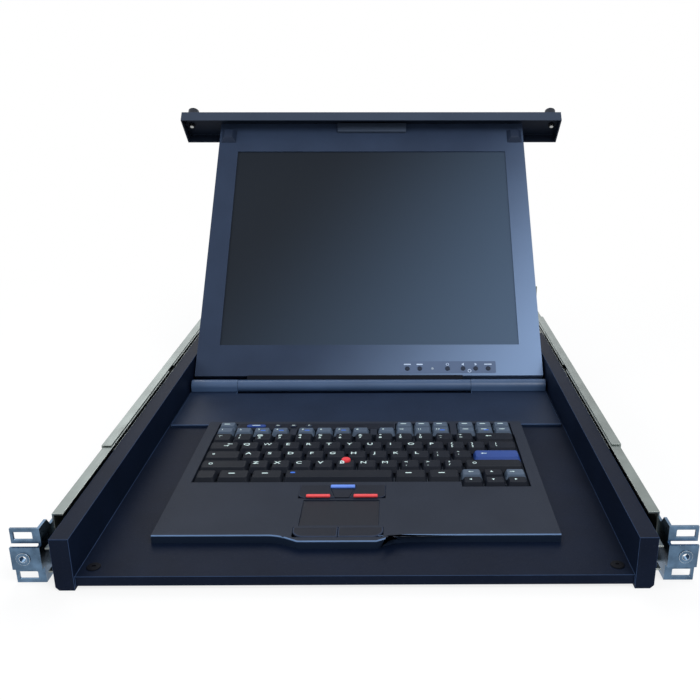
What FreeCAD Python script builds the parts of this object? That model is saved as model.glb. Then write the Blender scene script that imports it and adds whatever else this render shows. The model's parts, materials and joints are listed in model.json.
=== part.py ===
"""Rack-mounted flat-panel console drawer, one rack unit high.

A steel tray with a keyboard slides out of a rack on a pair of three-part ball
slides.  A flat display is hinged to the tray behind the keyboard and folds
down over it, and the display's top edge carries the 19-inch front panel with
its two captive thumbscrews.  The drawer is shown slid in with its display open.

Frame: +X right, +Y into the rack, +Z up, in millimetres.  The origin is the
centre of the four front rack slots, on the ears' rear face, which seats on the
rack posts.  Each size stands once in the sheet "Sizes".  PLACES names the
levels that follow from them, and every object is bound to these expressions.
"""

import FreeCAD, Part
import os
import re

import PartDesign
import Sketcher
from FreeCAD import Placement, Rotation, Vector

# ---------------------------------------------------------------- sizes

SIZES = (
    # the 19-inch rack standard
    ("rack_unit", 44.45, "height of one rack unit"),
    ("rack_span", 465.1, "between the left and right columns of rack holes"),
    ("rack_pitch", 31.75, "between the upper and lower hole of one unit"),
    ("panel_margin", 8.75, "rack slot centre to the front panel's end"),
    ("panel_height", 43.6, "front panel of one unit"),
    ("panel_depth", 13.0, "depth of the front panel's folded edge"),
    ("panel_sheet", 1.5, "front panel sheet"),
    ("panel_gap", 1.0, "closed front panel to tray"),
    # ears
    ("ear_sheet", 2.0, "ear bracket sheet"),
    ("ear_joggle", 4.0, "middle tab in front of the outer tabs"),
    ("ear_tab", 11.6, "height of the upper and lower tab"),
    ("ear_middle", 17.6, "height of the middle tab"),
    ("ear_plate", 62.0, "length of the ear's side plate"),
    ("ear_shoulder", 13.0, "full-height length of the ear's side plate"),
    ("ear_slope", 5.0, "slanted edge behind the ear's shoulder"),
    ("ear_strap", 30.0, "height of the side plate behind the shoulder"),
    ("ear_slot", 13.6, "length of a rack slot"),
    ("ear_slot_width", 6.4, "width of a rack slot"),
    ("rear_ear_rim", 1.725, "rack slot to the rear ear's upper or lower edge"),
    ("insert_bore", 5.0, "threaded insert, inner diameter"),
    ("insert_barrel", 7.6, "threaded insert, barrel diameter"),
    ("insert_flange", 9.8, "threaded insert, flange diameter"),
    ("insert_rim", 0.8, "threaded insert, flange thickness"),
    # rails
    ("rail_sheet", 1.2, "rail sheet"),
    ("rail_flange", 8.2, "width of a rail's folded flange"),
    ("rail_height", 44.2, "height of the outer carrier rail"),
    ("rail_slip", 0.1, "clearance between nested rails"),
    ("drawer_out", 6.0, "how far the drawer stands out of its seat as drawn"),
    ("rail_setback", 26.0, "front rail behind the ears' front"),
    ("rail_front_length", 300.0, "front rail"),
    ("carrier_setback", 138.0, "carrier rail behind the ears' front"),
    ("carrier_length", 387.0, "carrier rail"),
    ("rail_reach", 690.0, "rear end of the rails behind the ears' front"),
    ("rail_split", 18.0, "front rail to rear rail inside the carrier"),
    ("adjust_slot", 60.0, "length of a rail's adjusting slot"),
    ("stud_diameter", 4.0, "clamping stud"),
    ("stud_inset", 55.0, "clamping stud from the carrier's end"),
    ("nut_width", 7.0, "clamping nut, corner to corner"),
    ("nut_height", 2.3, "clamping nut"),
    # ball slides
    ("slide_space", 8.6, "tray side to rail"),
    ("slide_sheet", 1.2, "slide member sheet"),
    ("slide_height", 35.0, "outer slide member"),
    ("slide_length", 416.0, "each slide member"),
    ("slide_setback", 4.0, "inner slide member behind the tray front"),
    ("slide_tip", 1.0, "slide flange edge to tray side"),
    ("ball_diameter", 2.4, "slide ball"),
    ("ball_play", 0.1, "ball to race, each side"),
    ("ball_count", 2, "balls modelled in each cage strip"),
    ("cage_width", 3.6, "ball cage strip"),
    ("cage_sheet", 0.6, "ball cage strip"),
    ("cage_length", 80.0, "ball cage strip"),
    ("cage_hole_play", 0.05, "ball to its cage hole"),
    ("inner_cage_setback", 247.0, "inner cages behind the tray front"),
    ("outer_cage_setback", 300.0, "outer cages behind the tray front"),
    # tray
    ("side_space", 22.05, "rack slot centre to the tray's side"),
    ("tray_height", 41.0, "tray side wall"),
    ("tray_lift", 0.2, "tray above the bottom of its rack unit"),
    ("tray_sheet", 1.5, "tray sheet"),
    ("wall_box", 13.6, "width of the folded side wall"),
    ("wall_chamfer", 2.6, "lower outer corner of the side wall"),
    ("floor_height", 10.0, "tray floor above the tray's underside"),
    ("lip_height", 7.6, "folded front lip of the floor"),
    ("lip_setback", 2.0, "front lip behind the wall front"),
    ("deck_rise", 2.6, "rear deck above the floor"),
    ("deck_margin", 2.4, "rear deck to side wall"),
    ("deck_tail", 8.0, "rear deck past the hinge axis"),
    ("notch_lead", 5.0, "hinge barrel to the front of the deck's notch"),
    ("cover_clear", 59.8, "hinge axis to the rear cover, for the open display"),
    ("cover_depth", 56.0, "rear cover"),
    ("cover_fit", 0.3, "rear cover to side wall"),
    # hinge
    ("hinge_height", 16.9, "hinge axis above the tray's underside"),
    ("hinge_radius", 6.6, "hinge barrel"),
    ("block_radius", 6.9, "hinge block"),
    ("barrel_left", 144.0, "barrel's left end, left of the middle"),
    ("barrel_right", 112.4, "barrel's right end, right of the middle"),
    ("barrel_play", 0.3, "barrel end to hinge block"),
    ("pin_diameter", 8.0, "hinge pin"),
    ("pin_length", 40.0, "hinge pin"),
    ("pin_play", 0.05, "hinge pin to barrel bore, each side"),
    ("neck_low", 2.2, "hinge neck's face above the axis, display closed"),
    ("neck_sheet", 3.2, "hinge neck thickness"),
    ("neck_foot", 12.0, "height of the neck's foot"),
    ("neck_foot_sheet", 1.5, "neck's foot thickness"),
    ("neck_margin", 8.0, "neck to barrel end"),
    # display, laid down closed about the hinge axis
    ("open_angle", 133.15, "display opened from closed"),
    ("display_clear", 2.4, "display to side wall"),
    ("display_thick", 20.4, "display front face to back"),
    ("display_edge", 13.4, "hinge axis to the display's lower edge"),
    ("face_rise", 3.75, "display face above the hinge axis, closed"),
    ("display_sheet", 1.5, "display shell sheet"),
    ("frame_depth", 10.0, "depth of the display's front shell"),
    ("back_chamfer", 6.0, "lower rear corner of the display's back"),
    ("view_side", 24.65, "display's side to the screen opening"),
    ("view_height", 271.3, "screen opening"),
    ("view_margin", 38.0, "screen opening above the display's lower edge"),
    ("head_margin", 44.0, "screen opening to the display's upper edge"),
    ("screen_rim", 8.9, "screen module past its opening, all round"),
    ("screen_thick", 11.5, "screen module"),
    ("board_width", 150.0, "display control board"),
    ("board_height", 24.0, "display control board"),
    ("board_sheet", 1.6, "circuit board"),
    ("board_offset", 88.0, "display control board right of the middle"),
    ("switch_size", 5.4, "push switch on a board"),
    ("switch_rise", 0.2, "push switch on a board"),
    ("menu_line", 8.5, "menu buttons above the display's lower edge"),
    ("menu_button", 5.0, "menu button diameter"),
    ("menu_play", 0.25, "menu button to its hole, each side"),
    ("menu_proud", 1.0, "menu button above the display face"),
    ("menu_stem", 3.6, "menu button length"),
    ("menu_travel", 0.7, "menu button travel"),
    ("menu_one", 42.7, "first menu button right of the middle"),
    ("menu_two", 56.5, "second menu button right of the middle"),
    ("menu_three", 87.8, "third menu button right of the middle"),
    ("menu_four", 105.2, "fourth menu button right of the middle"),
    ("menu_five", 119.3, "fifth menu button right of the middle"),
    ("menu_six", 133.3, "sixth menu button right of the middle"),
    ("lamp_line", 70.9, "power lamp right of the middle"),
    ("lamp_diameter", 2.6, "power lamp"),
    # catches on the display face
    ("catch_width", 19.0, "corner catch"),
    ("catch_length", 19.0, "corner catch"),
    ("catch_proud", 6.0, "corner catch above the display face"),
    ("catch_ramp", 4.5, "slope of the corner catch"),
    ("catch_inset", 2.3, "corner catch to display side"),
    ("catch_drop", 11.5, "corner catch from the front panel"),
    ("grip_width", 88.0, "finger grip"),
    ("grip_height", 14.0, "finger grip"),
    ("grip_proud", 4.0, "finger grip above the display face"),
    ("grip_drop", 1.2, "finger grip from the front panel"),
    ("grip_round", 1.8, "finger grip's rounded edge"),
    # thumbscrews
    ("knob_diameter", 13.6, "thumbscrew knob"),
    ("knob_length", 9.0, "thumbscrew knob"),
    ("knob_proud", 21.0, "knob end in front of the panel, drawn back"),
    ("knob_rim", 1.0, "knob edge chamfer"),
    ("screw_diameter", 4.8, "thumbscrew shank"),
    ("screw_tip", 4.0, "shank end behind the panel, drawn back"),
    ("screw_hole_play", 0.35, "shank to panel hole, each side"),
    ("screw_travel", 11.8, "thumbscrew travel into the rack"),
    ("clip_diameter", 8.0, "retaining clip"),
    ("clip_sheet", 0.8, "retaining clip"),
    ("clip_gap", 0.3, "retaining clip behind the panel, drawn back"),
    ("clip_play", 0.06, "shank to retaining clip, each side"),
    ("clip_groove", 0.3, "depth of the clip's groove in the shank"),
    # keyboard
    ("keyboard_shift", -1.0, "keyboard right of the middle"),
    ("board_side", 11.125, "key field to the keyboard's side"),
    ("board_back", 5.25, "top row of keys to the keyboard's rear"),
    ("keyboard_setback", 45.0, "keyboard behind the tray front"),
    ("keyboard_height", 5.8, "keyboard frame over the key field"),
    ("keyboard_edge", 6.4, "keyboard frame at the rest's front edge"),
    ("frame_skin", 1.8, "keyboard frame skin"),
    ("rest_depth", 82.0, "hand rest, front edge to its crease"),
    ("bump_depth", 8.5, "bulge in the front edge"),
    ("bump_flat", 59.0, "flat of the bulge"),
    ("bump_width", 90.0, "width of the bulge at its root"),
    ("plate_sheet", 1.2, "keyboard base plate"),
    ("plate_fit", 0.3, "base plate to keyboard frame"),
    ("bay_gap", 0.8, "key to keyboard frame"),
    ("palm_depth", 86.5, "keyboard front to the key field"),
    ("key_pitch", 19.05, "standard key pitch"),
    ("key_gap", 0.9, "between key caps"),
    ("key_height", 4.4, "key cap"),
    ("key_lift", 3.6, "cap underside above the tray floor"),
    ("key_side", 1.9, "key cap's slope at the sides"),
    ("key_front", 3.4, "key cap's slope at the front"),
    ("key_rear", 1.2, "key cap's slope at the rear"),
    ("key_dish", 0.45, "depth of the hollow in a key"),
    ("key_dish_radius", 32.0, "radius of the hollow in a key"),
    ("key_travel", 2.0, "key travel"),
    ("function_pitch", 17.6, "function key pitch"),
    ("function_depth", 13.0, "function row pitch"),
    ("function_gap", 7.2, "between blocks of function keys"),
    ("arrow_drop", 9.0, "arrow keys in front of the key field"),
    ("arrow_shallow", 2.0, "slope saved on half-height keys"),
    # buttons above the keys
    ("access_width", 18.8, "pill button"),
    ("access_depth", 5.2, "pill button"),
    ("access_inset", 36.5, "pill button from the key field's left edge"),
    ("sound_diameter", 6.4, "round button"),
    ("sound_inset", 57.7, "first round button from the key field's left edge"),
    ("sound_pitch", 15.2, "between round buttons"),
    ("top_button_line", 11.5, "these buttons in front of the keyboard's rear"),
    ("top_button_proud", 1.3, "these buttons above the frame"),
    ("button_play", 0.3, "button to its hole, each side"),
    ("button_stem", 3.4, "button length below its top"),
    ("button_travel", 0.9, "button travel"),
    # pointing devices
    ("stick_cap", 8.0, "pointing stick cap diameter"),
    ("stick_height", 9.6, "pointing stick above the tray floor"),
    ("stick_post", 3.0, "pointing stick post diameter"),
    ("stick_skirt", 2.6, "height of the cap"),
    ("stick_rim", 0.9, "cap's chamfer"),
    ("stick_notch", 12.0, "clear circle in the keys round the stick"),
    ("mouse_width", 71.0, "three stick buttons together"),
    ("mouse_start", 57.5, "stick buttons behind the keyboard front"),
    ("mouse_depth", 21.5, "stick buttons"),
    ("mouse_rear", 23.2, "middle stick button at the rear"),
    ("mouse_front", 11.6, "middle stick button at the front"),
    ("mouse_proud", 0.9, "stick buttons above the frame"),
    ("mouse_bar", 19.2, "raised bar on a stick button"),
    ("mouse_bar_depth", 2.6, "raised bar on a stick button"),
    ("mouse_bar_rise", 0.8, "raised bar above its button"),
    ("mouse_corner", 5.0, "outer front corner of a stick button"),
    ("pad_width", 61.5, "touchpad"),
    ("pad_depth", 40.0, "touchpad"),
    ("pad_start", 14.5, "touchpad behind the keyboard front"),
    ("pad_recess", 0.6, "touchpad below the frame's skin"),
    ("pad_play", 0.2, "touchpad to its recess"),
    ("click_width", 68.6, "two pad buttons together"),
    ("click_depth", 14.0, "pad buttons"),
    ("click_start", -2.4, "pad buttons behind the keyboard front"),
    ("click_round", 9.0, "outer front corner of a pad button"),
    ("click_proud", 0.5, "pad buttons above the frame"),
    # inside the rear compartment
    ("supply_width", 170.0, "power module"),
    ("supply_front", 11.5, "rear cover's front to the power module"),
    ("supply_headroom", 5.5, "power module to the rear cover"),
    ("supply_side", 18.9, "side wall to the power module"),
    ("inlet_width", 27.4, "mains inlet"),
    ("inlet_height", 19.6, "mains inlet"),
    ("inlet_well_width", 24.0, "mains inlet's well"),
    ("inlet_well_height", 16.4, "mains inlet's well"),
    ("inlet_well", 13.0, "depth of the mains inlet's well"),
    ("inlet_base", 2.4, "mains inlet above the floor"),
    ("rear_clearance", 3.0, "power module to the tray's rear wall"),
    ("socket_play", 0.3, "connector to its cut-out, each side"),
    ("link_width", 150.0, "interface board"),
    ("link_front", 9.5, "rear cover's front to the interface board"),
    ("link_place", 20.0, "interface board's left side"),
    ("link_lift", 4.0, "interface board above the floor"),
    ("standoff", 6.0, "width of a board pillar"),
    ("socket_width", 30.8, "video connector"),
    ("socket_height", 12.4, "video connector"),
    ("socket_depth", 14.0, "video connector"),
    ("round_socket", 13.0, "round connector"),
    ("round_pitch", 22.0, "between the round connectors"),
    ("round_lift", 1.0, "round connector above its board"),
    ("video_inset", 12.0, "video connector from the board's left side"),
    ("round_inset", 72.5, "first round connector from the board's left side"),
)

# Levels and lines that follow from the sizes.
PLACES = {
    "panel_width": "rack_span + 2 * panel_margin",
    "tray_width": "rack_span - 2 * side_space",
    "display_width": "2 * (wall_in - display_clear)",
    "display_length": "view_margin + view_height + head_margin",
    "hinge_back": "display_edge + display_length - panel_depth + panel_sheet - panel_gap",
    "cover_start": "hinge_back + cover_clear",
    "tray_depth": "cover_start + cover_depth",
    "view_width": "display_width - 2 * view_side",
    "screen_width": "view_width + 2 * screen_rim",
    "screen_height": "view_height + 2 * screen_rim",
    "keyboard_width": "15 * key_pitch + 2 * board_side",
    "keyboard_depth": "palm_depth + 5 * key_pitch + 2 * function_depth + board_back",
    "deck_start": "keyboard_setback + keyboard_depth",
    "access_place": "key_left + access_inset",
    "sound_first": "key_left + sound_inset",
    "pointing_place": "key_left + 6.75 * key_pitch",
    "stick_line": "palm_depth + 1.9 * key_pitch",
    "supply_place": "-(wall_in) + supply_side",
    "supply_depth": "cover_depth - tray_sheet - rear_clearance - supply_front",
    "supply_height": "tray_height - floor_height - tray_sheet - supply_headroom",
    "link_depth": "cover_depth - tray_sheet - rear_clearance - link_front",
    "rack_x": "rack_span / 2",
    "rack_z": "rack_pitch / 2",
    "ear_edge": "panel_width / 2",
    "seat_front": "-(ear_sheet + ear_joggle)",
    "tray_front": "seat_front - drawer_out",
    "tray_rear": "tray_front + tray_depth",
    "tray_side": "tray_width / 2",
    "wall_in": "tray_side - wall_box",
    "tray_base": "-(rack_unit / 2) + tray_lift",
    "tray_top": "tray_base + tray_height",
    "floor_top": "tray_base + floor_height",
    "deck_top": "floor_top + deck_rise",
    "rail_in": "tray_side + slide_space",
    "rail_out": "rail_in + rail_sheet",
    "carrier_in": "rail_out + rail_slip",
    "carrier_out": "carrier_in + rail_sheet",
    "carrier_half": "rail_height / 2",
    "rail_half": "carrier_half - rail_sheet - rail_slip",
    "carrier_front": "seat_front + carrier_setback",
    "carrier_rear": "carrier_front + carrier_length",
    "rail_front": "seat_front + rail_setback",
    "rail_end": "seat_front + rail_reach",
    "rail_rear_length": "rail_reach - rail_setback - rail_front_length - rail_split",
    "middle_front": "carrier_front - drawer_out / 2",
    "race_step": "ball_diameter + 2 * ball_play",
    "outer_half": "slide_height / 2",
    "middle_half": "outer_half - slide_sheet - race_step",
    "inner_half": "middle_half - slide_sheet - race_step",
    "middle_web": "rail_in - 1.5 * slide_sheet",
    "race_x": "tray_side + slide_space * 0.42",
    "hinge_y": "tray_front + hinge_back",
    "hinge_z": "tray_base + hinge_height",
    "panel_lip": "tray_front - panel_gap - hinge_y",
    "panel_face": "panel_lip - panel_depth",
    "panel_inner": "panel_face + panel_sheet",
    "panel_middle": "-(hinge_z)",
    "display_back": "face_rise + display_thick",
    "display_split": "face_rise + frame_depth",
    "display_half": "display_width / 2",
    "screen_front": "face_rise + display_sheet",
    "menu_y": "-(display_edge) - menu_line",
    "board_face": "face_rise - menu_proud + menu_stem + menu_travel + 0.3",
    "screw_end": "panel_inner + screw_tip",
    "knob_end": "panel_face - knob_proud",
    "key_left": "keyboard_shift - 7.5 * key_pitch",
    "key_right": "keyboard_shift + 7.5 * key_pitch",
    "board_front": "tray_front + keyboard_setback",
    "board_rear": "board_front + keyboard_depth",
    "board_left": "keyboard_shift - keyboard_width / 2",
    "board_right": "keyboard_shift + keyboard_width / 2",
    "frame_top": "floor_top + keyboard_height",
    "rest_top": "floor_top + keyboard_edge",
    "field_front": "board_front + palm_depth",
    "field_rear": "field_front + 5 * key_pitch",
    "key_base": "floor_top + key_lift",
    "key_top": "key_base + key_height",
    "arrow_pitch": "(key_pitch + arrow_drop) / 2",
    "point_x": "pointing_place",
    "mouse_y": "board_front + mouse_start",
    "mouse_top": "frame_top + mouse_proud",
    "pad_y": "board_front + pad_start",
    "pad_top": "frame_top - pad_recess",
    "click_y": "board_front + click_start",
    "click_top": "rest_top + click_proud",
    "top_buttons": "board_rear - top_button_line",
    "top_button_top": "frame_top + top_button_proud",
    "supply_rear": "tray_rear - tray_sheet - rear_clearance",
    "inlet_x": "supply_place + supply_width - inlet_width",
    "link_rear": "tray_rear - tray_sheet - rear_clearance",
    "link_face": "floor_top + link_lift + board_sheet",
    "video_x": "link_place + video_inset",
    "round_x": "link_place + round_inset",
    "round_z": "link_face + round_socket / 2 + round_lift",
}

# Each side's name, and the sign that its X takes.
SIDES = (("left", "-1"), ("right", "1"))

doc = FreeCAD.newDocument("console_drawer")
sheet = doc.addObject("Spreadsheet::Sheet", "Sizes")
for line, (alias, amount, meaning) in enumerate(SIZES, start=1):
    sheet.set(f"A{line}", alias)
    sheet.set(f"B{line}", str(amount))
    sheet.set(f"C{line}", meaning)
    sheet.setAlias(f"B{line}", alias)
doc.recompute()

ALIASES = {alias for alias, _, _ in SIZES}
nodes = {}


# ---------------------------------------------------------------- expressions

def formula(text):
    """The expression for text, with its places and sizes spelt out."""
    def spell(match):
        word = match.group(0)
        if word in PLACES:
            return f"({formula(PLACES[word])})"
        return f"Sizes.{word}" if word in ALIASES else word
    return re.sub(r"[a-z][a-z_]*", spell, str(text))


def number(text):
    """The value of an expression, in millimetres or degrees."""
    return float(sheet.evalExpression(formula(text)))


def bind(item, **properties):
    """Tie properties to expressions; a double underscore stands for a dot."""
    for name, text in properties.items():
        item.setExpression(name.replace("__", "."), formula(text))
    return item


def across(sign, low, high):
    """A span in X, given for the right side, on the side that sign names."""
    if sign == "1":
        return (low, high)
    return (f"-({high})", f"-({low})")


# ---------------------------------------------------------------- primitives

def box(name, x, y, z):
    """A block between the low and high expression of each axis."""
    block = doc.addObject("Part::Box", name)
    for size, axis, (low, high) in (("Length", "x", x), ("Width", "y", y), ("Height", "z", z)):
        bind(block, **{size: f"({high}) - ({low})", f"Placement__Base__{axis}": low})
    return block


TURNS = {
    "x": Rotation(Vector(0, 1, 0), 90),
    "y": Rotation(Vector(1, 0, 0), -90),
    "z": Rotation(),
}


def rod(name, radius, start, length, axis):
    """A cylinder that runs from start, three expressions, towards +axis."""
    bar = doc.addObject("Part::Cylinder", name)
    bar.Placement = Placement(Vector(), TURNS[axis])
    bind(bar, Radius=radius, Height=length)
    bind(bar, Placement__Base__x=start[0], Placement__Base__y=start[1], Placement__Base__z=start[2])
    return bar


def fuse(name, parts):
    """One solid from several that touch or overlap."""
    joined = doc.addObject("Part::MultiFuse", name)
    joined.Shapes = parts
    joined.Refine = True
    return joined


def group(name, parts):
    """Separate solids kept together."""
    bundle = doc.addObject("Part::Compound", name)
    bundle.Links = parts
    return bundle


def cut(name, base, tools):
    """Base less every tool."""
    result = doc.addObject("Part::Cut", name)
    result.Base = base
    result.Tool = tools[0] if len(tools) == 1 else fuse(f"{name}_tools", tools)
    return result


def rounded(name, base, radius, chosen):
    """Base with the edges that chosen accepts rounded."""
    doc.recompute()
    size = number(radius)
    edges = [(place, size, size) for place, edge in enumerate(base.Shape.Edges, 1) if chosen(edge)]
    if not edges:
        raise RuntimeError(f"{name}: no edge to round")
    result = doc.addObject("Part::Fillet", name)
    result.Base = base
    result.Edges = edges
    return result


def upright(edge):
    """Whether an edge runs along Z."""
    low, high = edge.BoundBox.ZMin, edge.BoundBox.ZMax
    return high - low > 0.1 and edge.BoundBox.XLength < 0.01 and edge.BoundBox.YLength < 0.01


# ---------------------------------------------------------------- bodies and sketches

PLANES = {"top": "XY_Plane", "front": "XZ_Plane", "side": "YZ_Plane"}


def body(name):
    """An empty PartDesign body."""
    return doc.addObject("PartDesign::Body", name)


def drawing(owner, name, view, level="0"):
    """A sketch seen from the top, front or side, at a level along that axis."""
    sketch = owner.newObject("Sketcher::SketchObject", name)
    role = PLANES[view]
    plane = next(item for item in owner.Origin.OriginFeatures if item.Role == role)
    sketch.AttachmentSupport = [(plane, "")]
    sketch.MapMode = "FlatFace"
    # the front plane's normal points to -Y
    bind(sketch, AttachmentOffset__Base__z=f"-({level})" if view == "front" else level)
    return sketch


def outline(sketch, corners):
    """A closed run of straight lines through corners, each tied to its place."""
    first = sketch.GeometryCount
    spots = [(number(across_text), number(up_text)) for across_text, up_text in corners]
    count = len(spots)
    for place, spot in enumerate(spots):
        ahead = spots[(place + 1) % count]
        sketch.addGeometry(Part.LineSegment(Vector(*spot, 0), Vector(*ahead, 0)), False)
    for place in range(count):
        ahead = first + (place + 1) % count
        sketch.addConstraint(Sketcher.Constraint("Coincident", first + place, 2, ahead, 1))
    for place, texts in enumerate(corners):
        for kind, text, value in zip(("DistanceX", "DistanceY"), texts, spots[place]):
            rule = Sketcher.Constraint(kind, -1, 1, first + place, 1, value)
            index = sketch.addConstraint(rule)
            sketch.setExpression(f"Constraints[{index}]", formula(text))


def rectangle(sketch, wide, tall):
    """A rectangle between the low and high expressions of each direction."""
    outline(sketch, [(wide[0], tall[0]), (wide[1], tall[0]), (wide[1], tall[1]), (wide[0], tall[1])])


def circle(sketch, across_text, up_text, radius):
    """A circle tied to its centre and radius."""
    centre = Vector(number(across_text), number(up_text), 0)
    shape = sketch.addGeometry(Part.Circle(centre, Vector(0, 0, 1), number(radius)), False)
    for kind, text in (("DistanceX", across_text), ("DistanceY", up_text)):
        rule = Sketcher.Constraint(kind, -1, 1, shape, 3, number(text))
        index = sketch.addConstraint(rule)
        sketch.setExpression(f"Constraints[{index}]", formula(text))
    index = sketch.addConstraint(Sketcher.Constraint("Radius", shape, number(radius)))
    sketch.setExpression(f"Constraints[{index}]", formula(radius))


def pad(owner, sketch, length, backwards=False):
    """Material from a sketch towards +Z, +Y or +X, or backwards from it."""
    feature = owner.newObject("PartDesign::Pad", f"{sketch.Name}_pad")
    feature.Profile = sketch
    feature.Reversed = ("front" in sketch_view(sketch)) != backwards
    bind(feature, Length=length)
    return feature


def pocket(owner, sketch, length, backwards=False):
    """A hole from a sketch towards +Z, +Y or +X, or backwards from it."""
    doc.recompute()
    before = owner.Shape.Volume
    feature = owner.newObject("PartDesign::Pocket", f"{sketch.Name}_pocket")
    feature.Profile = sketch
    feature.Reversed = ("front" not in sketch_view(sketch)) != backwards
    bind(feature, Length=length)
    doc.recompute()
    if owner.Shape.Volume >= before:
        raise RuntimeError(f"{sketch.Name}: the pocket cuts nothing")
    return feature


def sketch_view(sketch):
    """The view that a sketch was drawn in."""
    role = sketch.AttachmentSupport[0][0].Role
    return next(view for view, name in PLANES.items() if name == role)


def turned(name, profile):
    """A body of revolution about its own Y axis from (radius, along) corners."""
    owner = body(name)
    sketch = drawing(owner, f"{name}_profile", "top")
    outline(sketch, profile)
    feature = owner.newObject("PartDesign::Revolution", f"{name}_turn")
    feature.Profile = sketch
    feature.ReferenceAxis = (sketch, ["V_Axis"])
    feature.Angle = 360
    return owner


# ---------------------------------------------------------------- keeping sub-parts

def keep(item, name):
    """Register a finished sub-part under its node name."""
    item.Label = name
    nodes[name] = item
    return item


def swing(item):
    """Hang an object, built closed about the hinge axis, at its open angle."""
    item.Placement = Placement(Vector(), Rotation(Vector(1, 0, 0), -1))
    bind(item, Placement__Rotation__Angle="-open_angle")
    bind(item, Placement__Base__y="hinge_y", Placement__Base__z="hinge_z")
    return item


# ---------------------------------------------------------------- rack side

def channel(name, sign, web, tip, half, sheet_size, span):
    """A C-shaped channel along Y with its web at the outside.

    web and tip are the web's outer face and the flanges' inner edge, half the
    half height, and span the start and length along Y.
    """
    owner = body(name)
    sketch = drawing(owner, f"{name}_section", "front", span[0])
    inner_web, inner_half = f"({web} - {sheet_size})", f"({half} - {sheet_size})"
    corners = (
        (web, f"-({half})"), (web, half), (tip, half), (tip, inner_half),
        (inner_web, inner_half), (inner_web, f"-{inner_half}"), (tip, f"-{inner_half}"), (tip, f"-({half})"),
    )
    outline(sketch, [(f"{sign} * ({x})", z) for x, z in corners])
    pad(owner, sketch, span[1])
    return owner


def slot(name, centre, length, width, depth, axis):
    """A round-ended slot tool; axis is the way it cuts, and it lies level."""
    x, y, z = centre
    radius, reach = f"({width}) / 2", f"(({length}) - ({width})) / 2"
    if axis == "y":
        middle = box(f"{name}_middle", (f"{x} - {reach}", f"{x} + {reach}"), (y, f"{y} + {depth}"),
                     (f"{z} - {radius}", f"{z} + {radius}"))
        ends = [rod(f"{name}_end", radius, (f"{x} {way} {reach}", y, z), depth, axis) for way in "-+"]
    else:
        middle = box(f"{name}_middle", (x, f"{x} + {depth}"), (f"{y} - {reach}", f"{y} + {reach}"),
                     (f"{z} - {radius}", f"{z} + {radius}"))
        ends = [rod(f"{name}_end", radius, (x, f"{y} {way} {reach}", z), depth, axis) for way in "-+"]
    return fuse(name, [middle, *ends])


def ear_bracket(side, sign):
    """Folded ear: a side plate, two slotted tabs and the middle tab in front."""
    front = "-(ear_sheet)"
    plate_half, strap_half = "(rack_z + ear_tab / 2)", "ear_strap / 2"
    low, _ = across(sign, "rail_out", "rail_out + ear_sheet")
    plate = body(f"ear_plate_{side}")
    shape = drawing(plate, f"ear_plate_{side}_form", "side", low)
    upper = [(front, plate_half), (f"{front} + ear_shoulder", plate_half),
             (f"{front} + ear_shoulder + ear_slope", strap_half), (f"{front} + ear_plate", strap_half)]
    outline(shape, [(y, f"-({z})") for y, z in upper] + upper[::-1])
    pad(plate, shape, "ear_sheet")
    nose = box("ear_nose", across(sign, "rail_out", "rail_out + ear_sheet"),
               ("seat_front", front), ("-(ear_middle) / 2", "ear_middle / 2"))
    tabs = [box("ear_tab", across(sign, "rail_out", "ear_edge"), (front, "0"),
                (f"{way} * rack_z - ear_tab / 2", f"{way} * rack_z + ear_tab / 2")) for way in ("-1", "1")]
    middle = box("ear_middle_tab", across(sign, "rail_out", "ear_edge"),
                 ("seat_front", "seat_front + ear_sheet"), ("-(ear_middle) / 2", "ear_middle / 2"))
    holes = [rack_slot(sign, way, front) for way in ("-1", "1")]
    holes.append(rod("insert_hole", "insert_barrel / 2", (f"{sign} * rack_x", "seat_front", "0"),
                     "ear_sheet", "y"))
    keep(cut(f"ear_bracket_{side}", fuse("ear_blank", [plate, nose, *tabs, middle]), holes),
         f"ear_bracket_{side}")


def rack_slot(sign, way, front):
    """The tool that cuts one rack slot through a sheet behind front."""
    return slot("rack_slot", (f"{sign} * rack_x", front, f"{way} * rack_z"), "ear_slot", "ear_slot_width",
                "ear_sheet", "y")


STUDS = {"front": "carrier_front + stud_inset", "rear": "carrier_rear - stud_inset"}


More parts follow.
